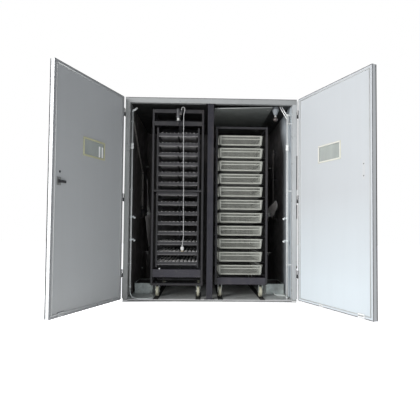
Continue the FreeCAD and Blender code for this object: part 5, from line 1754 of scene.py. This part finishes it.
def spray_pipes():
    """Upright pipes with couplings, clips and nozzles."""
    kit = Kit()
    y = PIPE_Y
    for side, x, low, high in ((-1, LEFT_PIPE_X, 0.118, 2.166), (1, RIGHT_PIPE_X, FLOOR, 2.150)):
        kit.rod((x, y, low), (x, y, high), 0.010, PIPE, 24)
        kit.lathe((x, y, 1.722), (0, 0, 1), [(0, 0.012), (0.002, 0.0175), (0.026, 0.0175), (0.028, 0.0155),
                                             (0.040, 0.0155), (0.042, 0.0175), (0.066, 0.0175),
                                             (0.068, 0.012)], COUPLING, 24)
        for z in (0.675, 0.936):
            kit.lathe((x, y, z - 0.016), (0, 0, 1), [(0, 0.012), (0.001, 0.014), (0.031, 0.014),
                                                     (0.032, 0.012)], NOZZLE, 24)
            kit.lathe((x, y, z), (-side, 0, 0), [(0.010, 0.0075), (0.024, 0.0070), (0.026, 0.0095),
                                                 (0.030, 0.0095)], NOZZLE, 20)
            kit.lathe((x - side * 0.022, y, z + 0.008), (-side * 0.72, 0, -0.70),
                      [(0, 0.006), (0.002, 0.0095), (0.020, 0.0095), (0.022, 0.0125), (0.032, 0.0125),
                       (0.036, 0.006)], NOZZLE, 24)
        wall = side * INNER_X
        for z in (0.400, 1.250, 2.040):
            kit.lathe((x, y, z - 0.006), (0, 0, 1), [(0, 0.0108), (0, 0.0125), (0.012, 0.0125),
                                                     (0.012, 0.0108)], PIPE, 24)
            kit.box(tuple(sorted((x + side * 0.010, wall))), around(y, 0.005), around(z, 0.007), PIPE, 0.001)
    kit.sweep(FEED_ROUTE, 0.006, HOSE, 14)
    for foot in (FEED_ROUTE[0], FEED_ROUTE[-1]):
        kit.lathe((foot[0], foot[1], foot[2] - 0.006), (0, 0, 1),
                  [(0, 0.009), (0.001, 0.0105), (0.011, 0.0105), (0.012, 0.009)], NOZZLE, 20)
    path = [(LEFT_PIPE_X, y, 2.150)]
    for k in range(9):
        a = math.pi / 2 * k / 8
        path.append((LEFT_PIPE_X + 0.018 * (1 - math.cos(a)), y + 0.002 * k / 8, 2.158 + 0.016 * math.sin(a)))
    path.append((-0.864, y + 0.010, 2.204))
    kit.sweep(path, 0.0115, PIPE, 18)
    kit.rod((RIGHT_PIPE_X, y, 2.140), (INNER_X, y, 2.140), 0.0098, PIPE, 20)
    kit.lathe((RIGHT_PIPE_X, y, 2.128), (0, 0, 1), [(0, 0.0115), (0.001, 0.013), (0.021, 0.013),
                                                    (0.024, 0.006)], PIPE, 24)
    kit.lathe((LEFT_PIPE_X, y, 0.116), (0, 0, 1), [(0, 0.0062), (0.012, 0.0075), (0.020, 0.0125),
                                                   (0.036, 0.0125)], NOZZLE, 24)
    kit.make("spray_pipe_run", "cabinet", "pipe_plastic", ["spray_pipes"])


def ceiling():
    """Baffle over the hatcher with its rolled front edge, lampholder, bulb and stays."""
    kit = Kit()
    ends = ((0.038, 2.199), (0.712, 2.223))
    for y, high, paint in (((FRONT + 0.062, 0.400), 0.002, BAFFLE),
                           ((FRONT + 0.060, FRONT + 0.0625), 0.010, RIM)):
        kit.rings([[(x, y[0], z), (x, y[1], z), (x, y[1], z + high), (x, y[0], z + high)] for x, z in ends],
                  paint, smooth=False)
    kit.rod(*[(x, FRONT + 0.062, z + 0.001) for x, z in ends], 0.0025, RIM, 12)
    for hx in (0.080, 0.670):
        low = 2.199 + (hx - 0.038) / 0.674 * 0.024
        for hy in (FRONT + 0.140, 0.340):
            kit.rod((hx, hy, low), (hx, hy, CEILING_Z), 0.005, STEEL, 14)
            kit.bolt((hx, hy, low), (0, 0, -1), 0.006, STEEL)
    kit.make("ceiling_baffle", "cabinet", "galvanised", ["ceiling_fittings"])
    lamp_kit = Kit()
    at = (0.762, FRONT + 0.130)
    lamp_kit.lathe((*at, CEILING_Z), (0, 0, -1), [(0, 0.034), (0.004, 0.036), (0.022, 0.036),
                                                  (0.028, 0.042), (0.034, 0.041), (0.060, 0.030),
                                                  (0.088, 0.021), (0.092, 0.019)], LAMPHOLDER, 36)
    lamp_kit.lathe((*at, 2.160), (0, 0, -1), [(0, 0.014), (0.012, 0.013), (0.026, 0.0135)], STEEL, 28)
    lamp_kit.lathe((*at, 2.136), (0, 0, -1), [(0, 0.0125), (0.006, 0.0135), (0.014, 0.021), (0.024, 0.0265),
                                              (0.034, 0.027), (0.044, 0.022), (0.050, 0.012),
                                              (0.053, 0.002)], BULB, 32)
    lamp_kit.make("inside_lamp", "cabinet", "galvanised")
    stays = Kit()
    y = FRONT + 0.105
    for shift in (0, 0.024):
        sx = 0.807 + shift
        end = (INNER_X, y, CEILING_Z - (INNER_X - sx) * 1.72)
        stays.rod((sx, y, CEILING_Z), end, 0.005, WHITE, 14)
        stays.lathe((sx, y, CEILING_Z), (0, 0, -1), [(0, 0.012), (0.002, 0.012)], STEEL, 18)
    stays.make("ceiling_stays", "cabinet", "galvanised")


def control_box():
    """Case with a hinged lid, display, keys and cable gland."""
    kit = Kit()
    y = (-0.280, 0.080)
    kit.box((OUTER_X, 1.094), y, (1.250, 1.750), CONTROL, 0.006)
    kit.box((1.094, 1.100), (y[0] + 0.004, y[1] - 0.004), (1.254, 1.746), CONTROL, 0.003)
    kit.box((1.0995, 1.104), (y[0] + 0.055, y[1] - 0.055), (1.555, 1.695), BEZEL, 0.002)
    kit.box((1.1035, 1.1046), (y[0] + 0.068, y[1] - 0.068), (1.570, 1.680), SCREEN, 0.0004)
    for row in range(2):
        for column in range(4):
            at = (1.100, y[0] + 0.090 + column * 0.060, 1.500 - row * 0.050)
            kit.lathe(at, (1, 0, 0), [(0, 0.014), (0.002, 0.014), (0.004, 0.012)], BUTTON, 24)
    kit.lathe((1.100, y[0] + 0.180, 1.350), (1, 0, 0), [(0, 0.030), (0.002, 0.030), (0.002, 0.022),
                                                        (0.004, 0.020)], LEVER, 36)
    for z in (1.30, 1.70):
        kit.rod((1.096, y[0] - 0.003, z - 0.025), (1.096, y[0] - 0.003, z + 0.025), 0.005, STEEL, 16, 0.001)
    kit.lathe((1.040, -0.200, 1.250), (0, 0, -1), [(0, 0.014), (0.008, 0.014), (0.009, 0.011), (0.022, 0.010),
                                                   (0.025, 0.007)], LEVER, 6)
    kit.make("control_case", "cabinet", "control_plastic", ["control_box"])


def main():
    camera()
    cords()
    studio()
    for side, name in ((-1, "left"), (1, "right")):
        side_wall(side, name)
    rear_wall()
    roof()
    floor_deck()
    front_frame()
    centre_post()
    cabinet_hinges()
    doors()
    setter_frame()
    setter_layers()
    tie_bars()
    hatcher_frame()
    for index in range(BASKETS):
        basket(index)
    for trolley in ("setter", "hatcher"):
        for end in ("front", "rear"):
            wheels("%s_%s_wheels" % (trolley, end))
    fans()
    heaters()
    pans()
    spray_pipes()
    ceiling()
    control_box()


main()
with open(SIZE_FILE, "w") as size_file:
    json.dump({"cad": CAD_BOX, "visual": [list(corner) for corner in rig.bounds()]}, size_file)
